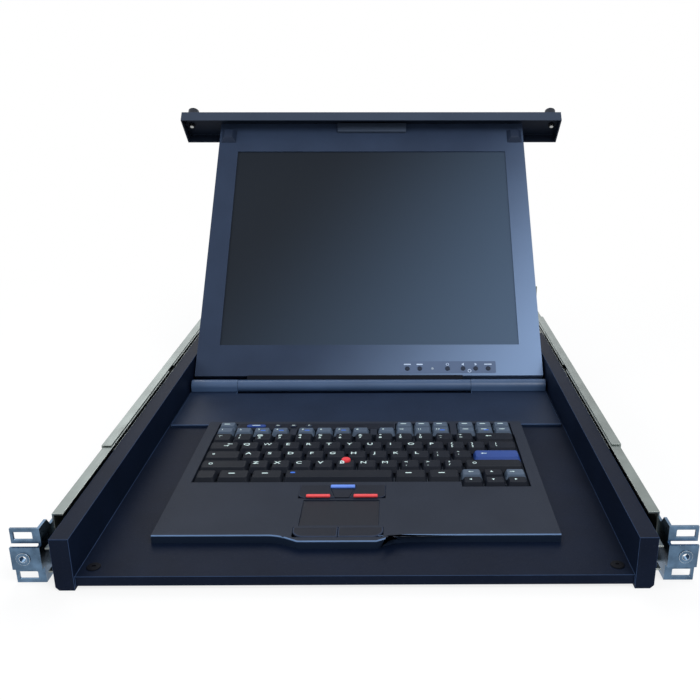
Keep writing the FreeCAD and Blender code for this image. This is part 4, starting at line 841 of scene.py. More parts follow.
@dataclass
class RackSide(Assembly):
    """Ears, rails, studs and the slides' members and cages."""

    column: float = 232.55 * MM
    slot_level: float = 15.875 * MM
    slot_length: float = 13.6 * MM
    slot_height: float = 6.4 * MM
    slot_depth: float = 2.0 * MM
    slot_corner: float = 0.8 * MM

    def build(self) -> None:
        """Dress everything that stays in the rack and the moving slides."""
        for side in Side:
            self._ear(side)
            for rail in ("front", "carrier", "rear"):
                self.dress(f"rail_{rail}_{side.word}", "cabinet_rails", Slot.GALVANISED, 0.35 * MM,
                           GALVANISED)
            self.dress(f"slide_outer_{side.word}", "cabinet_rails", Slot.SLIDE, 0.3 * MM, SLIDE_STEEL)
            self.dress(f"slide_middle_{side.word}", "slide_middle", Slot.SLIDE, 0.3 * MM, SLIDE_STEEL)
            self.dress(f"slide_inner_{side.word}", "tray", Slot.SLIDE, 0.3 * MM, SLIDE_STEEL)
        self.dress("rail_fasteners", "cabinet_rails", Slot.ZINC, 0.25 * MM, BRIGHT_ZINC)
        self.finish("ball_cages_outer", SLIDE_STEEL)
        self.finish("ball_cages_inner", SLIDE_STEEL)

    def _ear(self, side: Side) -> None:
        """Dress an ear, and square up the ends of its rack slots.

        Args:
            side: Which ear.
        """
        piece = from_solid(self.frame, f"ear_bracket_{side.word}", f"ear_bracket_{side.word}_dressed")
        for level in (-self.slot_level, self.slot_level):
            tool = block((side.value * self.column, -self.slot_depth / 2, level),
                         (self.slot_length, self.slot_depth * 4, self.slot_height))
            bevel_edges(tool, lambda a, b: abs(a.y - b.y) > 1 * MM, self.slot_corner, 3)
            cut(piece, tool)
        round_and_paint(piece, 0.45 * MM, 2, BRIGHT_ZINC)
        enrol(piece, "cabinet_rails", Slot.ZINC, f"ear_bracket_{side.word}")


# ---------------------------------------------------------------- tray


@dataclass
class Tray(Assembly):
    """The tray, its deck and cover, and what stands on them."""

    floor_level: float = -12.025 * MM
    screw_across: float = 187.5 * MM
    screw_line: float = 2 * MM
    screw_radius: float = 5 * MM
    screw_height: float = 0.9 * MM

    def build(self) -> None:
        """Dress the tray and everything fixed to it but the keyboard."""
        self.dress("tray_shell", "tray", Slot.PAINT, 0.9 * MM, POWDER_COAT, segments=3)
        self.dress("tray_deck", "tray", Slot.PAINT, 0.5 * MM, DECK_PAINT)
        self.dress("rear_cover", "tray", Slot.PAINT, 0.6 * MM, POWDER_COAT)
        for side in Side:
            self.dress(f"hinge_block_{side.word}", "tray", Slot.PAINT, 0.4 * MM, HINGE_PAINT)
        self.finish("hinge_pins", DARK_STEEL)
        for side in Side:
            self._floor_screw(side)
        self.dress("power_module", "tray", Slot.MODULE, 0.5 * MM, CASE_METAL)
        self.finish("interface_board", CIRCUIT)

    def _floor_screw(self, side: Side) -> None:
        """Model a low round screw head at the tray floor's front corner.

        Args:
            side: Which corner.
        """
        x, top = side.value * self.screw_across, self.floor_level + self.screw_height
        head = cylinder((x, self.screw_line, top - 0.5 * MM), self.screw_radius, 1 * MM, 40)
        head.name = f"floor_screw_{side.word}"
        bevel_edges(head, above(top - 0.05 * MM), 0.6 * MM, 3)
        cut(head, cylinder((x, self.screw_line, top + 0.3 * MM), 1.6 * MM, 2 * MM, 6))
        smooth(head, 35)
        paint(head, SCREEN_EDGE)
        enrol(head, "tray", Slot.ZINC)


# ---------------------------------------------------------------- display


@dataclass
class Display(Assembly):
    """The hinged display with its front panel and thumbscrews."""

    axis: Point = (0, 342.2 * MM, -5.125 * MM)
    face_back: float = 3.75 * MM
    tilt: float = math.radians(46.85)
    barrel_radius: float = 6.8 * MM
    screw_neck: float = 371 * MM
    grip_half: float = 50 * MM
    button_line: float = 21.9 * MM
    button_places: tuple[float, ...] = (42.7 * MM, 56.5 * MM, 87.8 * MM, 105.2 * MM, 119.3 * MM, 133.3 * MM)
    button_hole: float = 2.7 * MM
    lamp_place: float = 70.9 * MM
    lamp_hole: float = 1.5 * MM
    strip_middle: float = 88 * MM
    strip_length: float = 107.8 * MM
    strip_width: float = 14.4 * MM
    strip_rise: float = 1.7 * MM
    words: tuple[str, ...] = ("one", "two", "three", "four", "five", "six")

    def build(self) -> None:
        """Dress the display."""
        self.dress("display_frame", "display", Slot.PAINT, 0.6 * MM, DISPLAY_PAINT)
        self.dress("display_back", "display", Slot.PAINT, 0.8 * MM, DISPLAY_PAINT)
        self.finish("lcd_panel", SCREEN_GLASS)
        self.finish("display_board", LAMP_CLEAR)
        barrel = self.dress("hinge_barrel", "display", Slot.PAINT, 0.4 * MM, HINGE_PAINT, NECK_PAINTED_SHADE)
        # The neck faces beyond the barrel's radius take the painted shade.
        paint_where(barrel, 1, lambda centre, _: self._from_axis(centre) > self.barrel_radius)
        panel = self.dress("front_panel", "display", Slot.PAINT, 0.7 * MM, PANEL_PAINT, PANEL_LIP)
        out, axis = self._normal(), Vector(self.axis)
        paint_where(panel, 1, lambda centre, normal: normal.dot(out) > 0.7 and (centre - axis).dot(out) > 0)
        catches = self.dress("panel_catches", "display", Slot.KEY_BLACK, 0.6 * MM, BUTTON_FACE, PANEL_LIP)
        paint_where(catches, 1, lambda centre, _: abs(centre.x) < self.grip_half)
        for side in Side:
            screw = self.dress(f"thumbscrew_{side.word}", f"screw_{side.word}", Slot.ZINC, 0.3 * MM,
                               KNOB_BLACK, CASE_METAL)
            paint_where(screw, 1, lambda centre, _: self._along(centre) < self.screw_neck)
            self.finish(f"thumbscrew_clip_{side.word}", SCREEN_EDGE)
        for name in self.words:
            self.dress(f"menu_button_{name}", f"menu_{name}", Slot.KEY_BLACK, 0.5 * MM, BUTTON_FACE)
        self._label_strip()

    def _normal(self) -> Vector:
        """Point straight out of the display's face."""
        return Vector((0, -math.sin(self.tilt), math.cos(self.tilt)))

    def _along(self, place: Vector) -> float:
        """Measure how far a point lies up the display from its hinge."""
        return (place - Vector(self.axis)).dot((0, math.cos(self.tilt), math.sin(self.tilt)))

    def _from_axis(self, place: Vector) -> float:
        """Measure a point's distance from the hinge axis."""
        return math.hypot(place.y - self.axis[1], place.z - self.axis[2])

    def _lay(self, piece: bpy.types.Object, x: float, up: float, lift: float) -> bpy.types.Object:
        """Lay a flat piece on the display's face.

        Args:
            piece: The piece, drawn flat round the origin.
            x: Its place across the display.
            up: Its place up the face.
            lift: Its height above the face.

        Returns:
            The same piece.
        """
        base = Vector(self.axis) - self._normal() * self.face_back
        turn = Matrix.Rotation(self.tilt, 4, "X")
        piece.data.transform(Matrix.Translation(base) @ turn @ Matrix.Translation((x, up, lift)))
        return piece

    def _label_strip(self) -> None:
        """Lay the label strip round the menu buttons, with plain marks."""
        strip = bar(self.strip_length, self.strip_width, 1.2 * MM)
        thicken(strip, 0.3 * MM)
        holes = [(place, self.button_hole) for place in self.button_places]
        for place, radius in (*holes, (self.lamp_place, self.lamp_hole)):
            cut(strip, cylinder((place - self.strip_middle, -self.strip_rise, 0), radius, 4 * MM, 28))
        self._lay(strip, self.strip_middle, self.button_line + self.strip_rise, 0.1 * MM)
        strip.name = "label_strip"
        paint(strip, LABEL_STRIP)
        enrol(strip, "display", Slot.PAINT)
        signs = (bar(8 * MM, 1.3 * MM), bar(7 * MM, 1.3 * MM), ring(1.7 * MM, 0.5 * MM),
                 arrow(180, 3.4 * MM), arrow(0, 3.4 * MM), bar(8.5 * MM, 1.3 * MM))
        drawn = [self._lay(sign, place, self.button_line + 5 * MM, 0.35 * MM)
                 for sign, place in zip(signs, self.button_places)]
        drawn.append(self._lay(ring(2.0 * MM, 0.6 * MM), 112.3 * MM, self.button_line - 2.9 * MM, 0.35 * MM))
        marks = join(drawn, "label_marks")
        thicken(marks, 0.12 * MM)
        paint(marks, LABEL_MARK)
        enrol(marks, "display", Slot.PAINT)


# ---------------------------------------------------------------- keyboard


@dataclass(frozen=True)
class Mark:
    """One printed mark on a key: what it shows and where, from the key's middle."""

    sign: str
    x: float
    y: float
    size: float
    finish: Finish = LEGEND_WHITE


def legend(sign: str, x: float, y: float, size: float, finish: Finish = LEGEND_WHITE) -> Mark:
    """Describe a mark by its place and size in millimetres."""
    return Mark(sign, x * MM, y * MM, size * MM, finish)


ARROWS = {"<-": 180, "->": 0, "^": 90, "v": -90}


def draw_mark(mark: Mark) -> bpy.types.Object:
    """Draw one mark flat round the origin.

    Args:
        mark: The mark. Its sign is a character, or the name of a simple shape.

    Returns:
        The flat mark.
    """
    kind, _, word = mark.sign.partition(":")
    if kind == "arrow":
        return arrow(ARROWS[word], mark.size * 0.75)
    if kind == "long":
        return arrow(ARROWS[word], mark.size * 0.6, mark.size * 0.8)
    if kind == "bar":
        return bar(float(word) * MM, mark.size)
    if kind == "ring":
        return ring(mark.size / 2, mark.size * 0.16)
    if kind == "dot":
        return ring(mark.size / 2, mark.size * 0.3)
    return letter(mark.sign, mark.size)


@dataclass(frozen=True)
class Key:
    """One key cap: its middle, its outer size, its finish and its marks."""

    x: float
    y: float
    width: float
    depth: float
    finish: Finish
    marks: tuple[Mark, ...] = ()


@dataclass
class CapForm:
    """Sizes that every key cap shares."""

    base: float
    height: float = 4.4 * MM
    side: float = 1.9 * MM
    front: float = 3.4 * MM
    rear: float = 1.2 * MM
    corner: float = 2.0 * MM
    rim: float = 0.45 * MM
    dish_rim: float = 0.6 * MM
    dish: float = 0.2 * MM
    short_depth: float = 14 * MM
    short_front: float = 2.4 * MM
    short_rear: float = 0.6 * MM
    short_corner: float = 1.4 * MM

    def model(self, key: Key) -> bpy.types.Object:
        """Model one cap: a tapered block with round corners and a hollow top.

        Args:
            key: The key to model.

        Returns:
            The cap, at its place.
        """
        short = key.depth < self.short_depth
        front, rear, corner = self.front, self.rear, self.corner
        if short:
            front, rear, corner = self.short_front, self.short_rear, self.short_corner
        cap = block((key.x, key.y, self.base + self.height / 2), (key.width, key.depth, self.height))
        top = self.base + self.height
        for vertex in cap.data.vertices:
            if vertex.co.z > top - 0.1 * MM:
                vertex.co.x += self.side if vertex.co.x < key.x else -self.side
                vertex.co.y += front if vertex.co.y < key.y else -rear
        bevel_edges(cap, lambda a, b: abs(a.z - b.z) > 1 * MM, corner, 3)
        bevel_edges(cap, above(top - 0.05 * MM), self.rim, 2)
        self._hollow(cap, top, short)
        smooth(cap, 38)
        level_normals(cap)
        return cap

    def _hollow(self, cap: bpy.types.Object, top: float, short: bool) -> None:
        """Press a shallow hollow into the top of a cap.

        Args:
            cap: The cap.
            top: The level of its top.
            short: Whether it is a half-height key, which stays nearly flat.
        """
        activate(cap)
        bpy.ops.object.mode_set(mode="EDIT")
        inset, depth = (self.dish_rim * 0.5, self.dish * 0.4) if short else (self.dish_rim, self.dish)
        for share in (0.55, 0.45):
            shape = bmesh.from_edit_mesh(cap.data)
            flat = max((f for f in shape.faces if f.normal.z > 0.99), key=lambda f: f.calc_area())
            for face in shape.faces:
                face.select_set(face == flat)
            bmesh.update_edit_mesh(cap.data)
            bpy.ops.mesh.inset(thickness=inset, depth=0)
            bpy.ops.transform.translate(value=(0, 0, -depth * share))
        bpy.ops.mesh.mark_sharp()
        bpy.ops.object.mode_set(mode="OBJECT")


@dataclass
class Keyboard(Assembly):
    """The keyboard with its keys, buttons, touchpad and stick.

    The hand rest's corners are given in millimetres: from and to along the
    depth, from and to beside the middle, radius and steps.
    """

    pitch: float = 19.05 * MM
    gap: float = 0.9 * MM
    half_pitch: float = 14.025 * MM
    small_pitch: float = 17.6 * MM
    small_depth: float = 13.0 * MM
    block_gap: float = 7.2 * MM
    rest_top: float = -6.225 * MM
    middle: float = -15.29 * MM
    rest_front: float = 35 * MM
    bump_front: float = 29 * MM
    bump_half: float = 36 * MM
    rest_corners: tuple[tuple[float, ...], ...] = (
        (0, 34, 40, 80, 7, 6), (29, 32.5, -1, 40, 7, 6), (89, 92, 36, 200, 5, 5))
    stick_radius: float = 4 * MM
    stick_height: float = 4.2 * MM
    stick_room: float = 4.7 * MM
    post_radius: float = 1.5 * MM
    panel_left: float = -124.2 * MM
    panel_right: float = 27.5 * MM
    panel_line: float = 234.8 * MM
    lamp_slot: float = -18.75 * MM
    round_button: float = 6.4 * MM
    left: float = field(init=False)
    front: float = field(init=False)
    form: CapForm = field(init=False)

    def __post_init__(self) -> None:
        """Read the key field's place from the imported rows."""
        low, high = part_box("key_row_number")
        self.left = low.x - self.gap / 2
        self.front = high.y + self.gap / 2 - 5 * self.pitch
        self.form = CapForm(base=low.z)

    def build(self) -> None:
        """Dress the keyboard and model its keys."""
        self._rest()
        self.finish("keyboard_plate", DARK_STEEL)
        self.dress("touchpad", "tray", Slot.TOUCH, 0.3 * MM, TOUCH)
        self._stick()
        self._rows()
        self._buttons()

    def _rest(self) -> None:
        """Dress the keyboard frame, with its swept bump and rounded openings, a painted shade on its front
        faces and a painted highlight along its rounded top front edge.
        """
        piece = from_solid(self.frame, "keyboard_frame", "keyboard_frame_dressed")
        for *spans, radius, steps in self.rest_corners:
            near, far, inner, outer = (span * MM for span in spans)
            bevel_edges(piece, lambda a, b: abs(a.z - b.z) > 0.8 * MM and abs(a.x - b.x) < 0.1 * MM
                        and near < min(a.y, b.y) and max(a.y, b.y) < far
                        and inner < abs(a.x - self.middle) < outer, radius * MM, steps)
        top = max(vertex.co.z for vertex in piece.data.vertices)
        bevel_edges(piece, lambda a, b: max(a.y, b.y) < 33.6 * MM and min(a.z, b.z) > top - 1.2 * MM
                    and (min(a.y, b.y) < 29.5 * MM or self._beside_bump(a)), 1.2 * MM, 3, clamp=False)
        round_and_paint(piece, 0.6 * MM, 2, HAND_REST, REST_PAINTED_SHADE, REST_HIGHLIGHT)
        # The front faces take the painted shade.
        paint_where(piece, 1, lambda centre, normal: normal.y < -0.35 and abs(normal.z) < 0.3
                    and centre.y < self.rest_front)
        # The rounded top front edge takes the painted highlight.
        paint_where(piece, 2, lambda centre, normal: normal.y < -0.1 and 0.3 <= normal.z < 0.97
                    and (centre.y < self.bump_front
                         or (centre.y < self.rest_front and self._beside_bump(centre))))
        enrol(piece, "tray", Slot.KEYBOARD, "keyboard_frame")

    def _beside_bump(self, place: Vector) -> bool:
        """Tell whether a point lies left or right of the bump."""
        return abs(place.x - self.middle) > self.bump_half

    # -- keys

    def full(self, row: int, place: float, unit: float, finish: Finish, *marks: Mark) -> Key:
        """Lay out one full-height key.

        Args:
            row: Its row, counted from the front.
            place: Its left edge in key pitches.
            unit: Its width in key pitches.
            finish: Its finish.
            *marks: Its marks.

        Returns:
            The key.
        """
        return Key(self.left + (place + unit / 2) * self.pitch, self.front + (row + 0.5) * self.pitch,
                   unit * self.pitch - self.gap, self.pitch - self.gap, finish, marks)

    def letters(self, row: int, first: float, signs: str) -> list[Key]:
        """Lay out a run of letter keys.

        Args:
            row: Their row, counted from the front.
            first: The left edge of the first, in key pitches.
            signs: Their letters.

        Returns:
            The keys.
        """
        return [self.full(row, first + place, 1, KEY_BLACK, legend(sign, -3.4, 3.4, 6.2))
                for place, sign in enumerate(signs)]

    def pairs(self, row: int, first: float, signs: Sequence[str]) -> list[Key]:
        """Lay out a run of keys with an upper and a lower sign.

        Args:
            row: Their row, counted from the front.
            first: The left edge of the first, in key pitches.
            signs: Two characters for each key, the upper one first.

        Returns:
            The keys.
        """
        return [self.full(row, first + place, 1, KEY_BLACK, legend(pair[0], -3.6, 4.3, 4.6),
                          legend(pair[1], -3.6, -1.0, 4.6)) for place, pair in enumerate(signs)]

    def small(self, index: int, line: int, *marks: Mark) -> Key:
        """Lay out one half-height key behind the number row.

        Args:
            index: Its place from the left.
            line: 0 for the row next to the numbers, 1 behind it.
            *marks: Its marks.

        Returns:
            The key.
        """
        block = min(index // 4, 3)
        x = self.left + (index + 0.5) * self.small_pitch + block * self.block_gap
        y = self.front + 5 * self.pitch + (line + 0.5) * self.small_depth
        return Key(x, y, self.small_pitch - self.gap, self.small_depth - self.gap, KEY_GREY, marks)

    def _rows(self) -> None:
        """Lay out, model and enrol every row of keys."""
        self._row("number", [
            self.full(4, 0, 1, KEY_WARM, legend("~", -3.0, 4.0, 4.4), legend("'", -3.4, 0, 4)),
            *self.pairs(4, 1, ["!1", "@2", "#3", "$4", "%5", "^6", "&7", "*8", "(9", ")0", "_-", "+="]),
            self.full(4, 13, 2, KEY_BLACK, legend("long:<-", -7, 2.0, 4.6)),
        ])
        self._row("upper", [
            self.full(3, 0, 1.5, KEY_WARM, legend("long:<-", 3.4, 4.4, 4), legend("long:->", 3.4, 0.6, 4)),
            *self.letters(3, 1.5, "QWERTYUIOP"), *self.pairs(3, 11.5, ["{[", "}]"]),
            self.full(3, 13.5, 1.5, KEY_BLACK, legend("|", -5.5, 4.4, 4), legend("\\", -5.5, -0.6, 4)),
        ])
        self._row("home", [
            self.full(2, 0, 1.75, KEY_WARM, legend("dot", -8.6, 2.4, 2.4)),
            *self.letters(2, 1.75, "ASDFGHJKL"), *self.pairs(2, 10.75, [":;", "\"'"]),
        ])
        self._row("lower", [
            self.full(1, 0, 2.25, KEY_WARM, legend("ring", -12, 2.2, 3.6)),
            *self.letters(1, 2.25, "ZXCVBNM"), *self.pairs(1, 9.25, ["<,", ">.", "?/"]),
            self.full(1, 12.25, 2.75, KEY_WARM, legend("ring", -17, 2.2, 3.6)),
        ])
        self._row("bottom", self._bottom_keys())
        self._row("function", self._function_keys(), Slot.KEY_GREY)
        enter = self.full(2, 12.75, 2.25, KEY_BLUE, legend("long:<-", -13, 2.2, 4.4))
        self._row("enter", [enter], Slot.KEY_BLUE, "key_enter")

    def _bottom_keys(self) -> list[Key]:
        """Lay out the bottom row and the half-height arrow keys beside it.

        Returns:
            The keys.
        """
        word = legend("bar:5.5", -2.0, 2.6, 1.3)
        keys = [
            self.full(0, 0, 1, KEY_WARM), self.full(0, 1, 1.5, KEY_WARM, word),
            self.full(0, 2.5, 1.5, KEY_WARM, word),
            self.full(0, 4, 5, KEY_BLACK, legend("bar:4.4", -40, 3.6, 2.4, LEGEND_BLUE)),
            self.full(0, 9, 1.5, KEY_WARM, word), self.full(0, 10.5, 1.5, KEY_WARM, word),
        ]
        signs = (("arrow:<-", "arrow:v", "arrow:->"), ("long:<-", "arrow:^", "long:->"))
        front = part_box("key_row_bottom")[0].y - self.gap / 2
        for line, row in enumerate(signs):
            for column, sign in enumerate(row):
                finish = KEY_GREY if line and column != 1 else KEY_BLACK
                x = self.left + (12.5 + column) * self.pitch
                y = front + (line + 0.5) * self.half_pitch
                keys.append(Key(x, y, self.pitch - self.gap, self.half_pitch - self.gap, finish,
                                (legend(sign, -1.5, 1.6, 3.6),)))
        return keys

    def _function_keys(self) -> list[Key]:
        """Lay out the two lines of half-height keys, some with a second mark.

        Returns:
            The keys.
        """
        word = legend("bar:5.5", -1.0, 1.5, 1.1)
        keys = [self.small(index, 0, legend(str(index + 1), -3.2, 1.5, 3.4)) for index in range(12)]
        keys += [self.small(index, 0, word) for index in range(12, 15)]
        keys += [self.small(index, 1, word) for index in (0, *range(9, 15))]
        for index in (2, 3, 4, 6, 11, 13):
            second = legend("bar:5.0", 1.2, -0.6, 1.6, LEGEND_BLUE)
            keys[index] = replace(keys[index], marks=(*keys[index].marks, second))
        return keys

    def _row(self, name: str, keys: Sequence[Key], slot: Slot = Slot.KEY_BLACK, node: str = "") -> None:
        """Model a row's caps and marks.

        Args:
            name: The row's name.
            keys: Its keys.
            slot: The record's material slot.
            node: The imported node, where it isn't named for the row.
        """
        node = node or f"key_row_{name}"
        finishes = list(dict.fromkeys(key.finish for key in keys))
        caps = []
        models: dict[tuple[int, int], tuple[Key, bpy.types.Object]] = {}
        stick = middle_of("pointing_stick")
        for key in keys:
            size = (round(key.width * 1e5), round(key.depth * 1e5))
            if size in models:
                first, model = models[size]
                cap = model.copy()
                cap.data = model.data.copy()
                bpy.context.scene.collection.objects.link(cap)
                shift(cap, (key.x - first.x, key.y - first.y, 0))
            else:
                cap = self.form.model(key)
                models[size] = (key, cap)
            paint(cap, *finishes, index=finishes.index(key.finish))
            caps.append(cap)
            near = self.stick_radius
            if abs(key.x - stick.x) < key.width / 2 + near and abs(key.y - stick.y) < key.depth / 2 + near:
                self._clear_stick(cap)
        row = join(caps, f"{node}_caps")
        enrol(row, f"{node}_body", slot, node)
        marks = [(key, mark) for key in keys for mark in key.marks]
        if marks:
            self._marks(f"{node}_marks", f"{node}_body", slot, row, marks)

    def _clear_stick(self, cap: bpy.types.Object) -> None:
        """Cut a cap's corner away round the pointing stick.

        Args:
            cap: The cap.
        """
        x, y, _ = middle_of("pointing_stick")
        cut(cap, cylinder((x, y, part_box("pointing_stick")[1].z), self.stick_room, 20 * MM, 32))
        activate(cap)
        bpy.ops.mesh.customdata_custom_splitnormals_clear()
        smooth(cap, 38)

    def _marks(self, name: str, body: str, slot: Slot, row: bpy.types.Object,
               marks: Sequence[tuple[Key, Mark]]) -> None:
        """Print marks on a row of caps as one thin piece.

        Args:
            name: The piece's name.
            body: The row's body.
            slot: The record's material slot.
            row: The caps.
            marks: Each key with one of its marks.
        """
        finishes = list(dict.fromkeys(mark.finish for _, mark in marks))
        drawn = []
        above_caps = self.form.base + self.form.height + 1 * MM
        for key, mark in marks:
            piece = shift(draw_mark(mark), (key.x + mark.x, key.y + mark.y, above_caps))
            paint(piece, *finishes, index=finishes.index(mark.finish))
            drawn.append(piece)
        printed = join(drawn, name)
        print_on(printed, row)
        enrol(printed, body, slot)

    # -- buttons

    def _stick(self) -> None:
        """Model the pointing stick's domed rubber cap on its post."""
        low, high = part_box("pointing_stick")
        x, y, _ = middle_of("pointing_stick")
        cap = cylinder((x, y, high.z - self.stick_height / 2), self.stick_radius, self.stick_height, 40)
        bevel_edges(cap, above(high.z - 0.05 * MM), 1.1 * MM, 4)
        bevel_edges(cap, below(high.z - self.stick_height + 0.05 * MM), 0.4 * MM, 2)
        post_top = high.z - self.stick_height / 2 + 0.1 * MM
        post = cylinder((x, y, (low.z + post_top) / 2), self.post_radius, post_top - low.z, 20)
        bevel_edges(post, below(low.z + 0.05 * MM), 0.3 * MM, 2)
        stick = join([cap, post], "stick_cap")
        smooth(stick, 40)
        paint(stick, CAP_RED)
        enrol(stick, "tray", Slot.STICK, "pointing_stick")

    def _buttons(self) -> None:
        """Dress the buttons round the keys, the stick and the touchpad."""
        self.dress("access_button", "access_button_body", Slot.KEY_BLUE, 0.9 * MM, KEY_BLUE, segments=3)
        self.dress("sound_buttons", "sound_buttons_body", Slot.KEY_BLACK, 0.7 * MM, MOULDING, segments=3)
        for name, tint in (("left", BAR_RED), ("middle", BAR_BLUE), ("right", BAR_RED)):
            self._stick_bar(self._stick_button(name), name, tint)
        for side in Side:
            node = f"pad_button_{side.word}"
            self.dress(node, f"{node}_body", Slot.KEY_BLACK, 0.9 * MM, MOULDING, segments=3)
        self._button_marks()
        self._button_panel()
        self._lamp_slot()

    def _stick_button(self, name: str) -> bpy.types.Object:
        """Dress one of the stick's buttons, the outer two with a round front corner.

        Args:
            name: Which button.

        Returns:
            The button.
        """
        node = f"stick_button_{name}"
        if name == "middle":
            self.finish(node, MOULDING)
            return self.frame["nodes"][node]
        piece = from_solid(self.frame, node, f"{node}_dressed")
        front = min(vertex.co.y for vertex in piece.data.vertices)
        far = max(abs(vertex.co.x - self.middle) for vertex in piece.data.vertices)
        bevel_edges(piece, lambda a, b: abs(a.x - b.x) + abs(a.y - b.y) < 0.1 * MM and a.y < front + 0.3 * MM
                    and abs(a.x - self.middle) > far - 0.3 * MM, 5 * MM, 5)
        round_and_paint(piece, 0.35 * MM, 2, MOULDING)
        return enrol(piece, f"{node}_body", Slot.KEY_BLACK, node)

    def _stick_bar(self, piece: bpy.types.Object, name: str, tint: Finish) -> None:
        """Model the coloured grip bar on one of the stick's buttons.

        Args:
            piece: The button.
            name: Which button.
            tint: The bar's finish.
        """
        places = [piece.matrix_world @ vertex.co for vertex in piece.data.vertices]
        top = max(place.z for place in places)
        raised = [place for place in places if place.z > top - 0.1 * MM]
        left, right = min(place.x for place in raised), max(place.x for place in raised)
        front, rear = min(place.y for place in raised), max(place.y for place in raised)
        grip = block(((left + right) / 2, (front + rear) / 2, top - 0.1 * MM),
                     (right - left + 1.2 * MM, rear - front + 1.4 * MM, 2.0 * MM))
        grip.name = f"stick_bar_{name}"
        soften(grip, 0.7 * MM, 3)
        paint(grip, tint)
        enrol(grip, f"stick_button_{name}_body", Slot.KEY_BLACK)

    def _round_buttons(self) -> list[Vector]:
        """Find the middles of the three round buttons' tops.

        Returns:
            The middles, from the left.
        """
        low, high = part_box("sound_buttons")
        pitch = (high.x - low.x - self.round_button) / 2
        start = low.x + self.round_button / 2
        return [Vector((start + place * pitch, (low.y + high.y) / 2, high.z)) for place in range(3)]

    def _button_panel(self) -> None:
        """Lay the dark panel round the pill button and the round buttons."""
        panel = bar(self.panel_right - self.panel_left, 12.0 * MM, 1.5 * MM)
        shift(panel, ((self.panel_left + self.panel_right) / 2, self.panel_line, self.rest_top))
        thicken(panel, 0.3 * MM)
        low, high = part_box("access_button")
        round_low, round_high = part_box("sound_buttons")
        holes = [(middle_of("access_button"), high - low)]
        holes += [(place, Vector((self.round_button, round_high.y - round_low.y, 0)))
                  for place in self._round_buttons()]
        for place, size in holes:
            tool = bar(size.x + 0.5 * MM, size.y + 0.5 * MM, size.y * 0.5)
            thicken(tool, 4 * MM)
            cut(panel, shift(tool, (place.x, place.y, self.rest_top)))
        panel.name = "button_panel"
        paint(panel, MOULDING)
        enrol(panel, "tray", Slot.KEYBOARD)

    def _lamp_slot(self) -> None:
        """Outline the slot of the panel's lamps."""
        band = outline(bar(35.7 * MM, 4.0 * MM), 0.35 * MM)
        shift(band, (self.lamp_slot, self.panel_line, self.rest_top + 0.2 * MM))
        thicken(band, 0.15 * MM)
        band.name = "lamp_slot_outline"
        paint(band, HAND_REST)
        enrol(band, "tray", Slot.KEYBOARD)

    def _button_marks(self) -> None:
        """Print small generic marks on the pill button and the round buttons."""
        x, y, _ = middle_of("access_button")
        mark = shift(bar(8 * MM, 1.0 * MM), (x, y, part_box("access_button")[1].z + 1 * MM))
        self._print(mark, "access_button", "access_button_mark", Slot.KEY_BLUE)
        drawn = [shift(bar(length * MM, 0.9 * MM), place + Vector((0, 0, 1 * MM)))
                 for length, place in zip((3.2, 3.2, 2.2), self._round_buttons())]
        self._print(join(drawn, "sound_marks"), "sound_buttons", "sound_button_marks", Slot.KEY_BLACK)

    def _print(self, drawn: bpy.types.Object, node: str, name: str, slot: Slot) -> None:
        """Print flat white marks on a dressed button.

        Args:
            drawn: The flat marks above the button.
            node: The button's node.
            name: The marks' name.
            slot: The record's material slot.
        """
        drawn.name = name
        print_on(drawn, bpy.data.objects[f"{node}_dressed"])
        paint(drawn, LEGEND_WHITE)
        enrol(drawn, f"{node}_body", slot)


# ---------------------------------------------------------------- stage


def combine(tree: bpy.types.NodeTree, operation: str, first: bpy.types.NodeSocket,
            second: bpy.types.NodeSocket) -> bpy.types.NodeSocket:
    """Combine two values.

    Args:
        tree: The nodes to add to.
        operation: Blender's name for the operation.
        first: One value.
        second: The other value.

    Returns:
        The result.
    """
    node = tree.nodes.new("ShaderNodeMath")
    node.operation = operation
    tree.links.new(first, node.inputs[0])
    tree.links.new(second, node.inputs[1])
    return node.outputs[0]


def seen_rays(tree: bpy.types.NodeTree) -> bpy.types.NodeSocket:
    """Tell the rays that see the white background from those that only light.

    Args:
        tree: The nodes to add to.

    Returns:
        An output that is 1 for camera, glossy and transmission rays.
    """
    rays = tree.nodes.new("ShaderNodeLightPath").outputs
    found = combine(tree, "MAXIMUM", rays["Is Camera Ray"], rays["Is Glossy Ray"])
    return combine(tree, "MAXIMUM", found, rays["Is Transmission Ray"])


def mix_into(tree: bpy.types.NodeTree, output: str, share: bpy.types.NodeSocket, lit: bpy.types.Node,
             seen: bpy.types.Node) -> None:
    """Mix two shaders and send them to the output.

    Args:
        tree: The nodes to add to.
        output: The output node's type.
        share: The second shader's share.
        lit: The shader that lights.
        seen: The shader that is seen.
    """
    mix = add_node(tree, "ShaderNodeMixShader", {"Fac": share})
    tree.links.new(lit.outputs[0], mix.inputs[1])
    tree.links.new(seen.outputs[0], mix.inputs[2])
    add_node(tree, output, {"Surface": mix.outputs[0]})


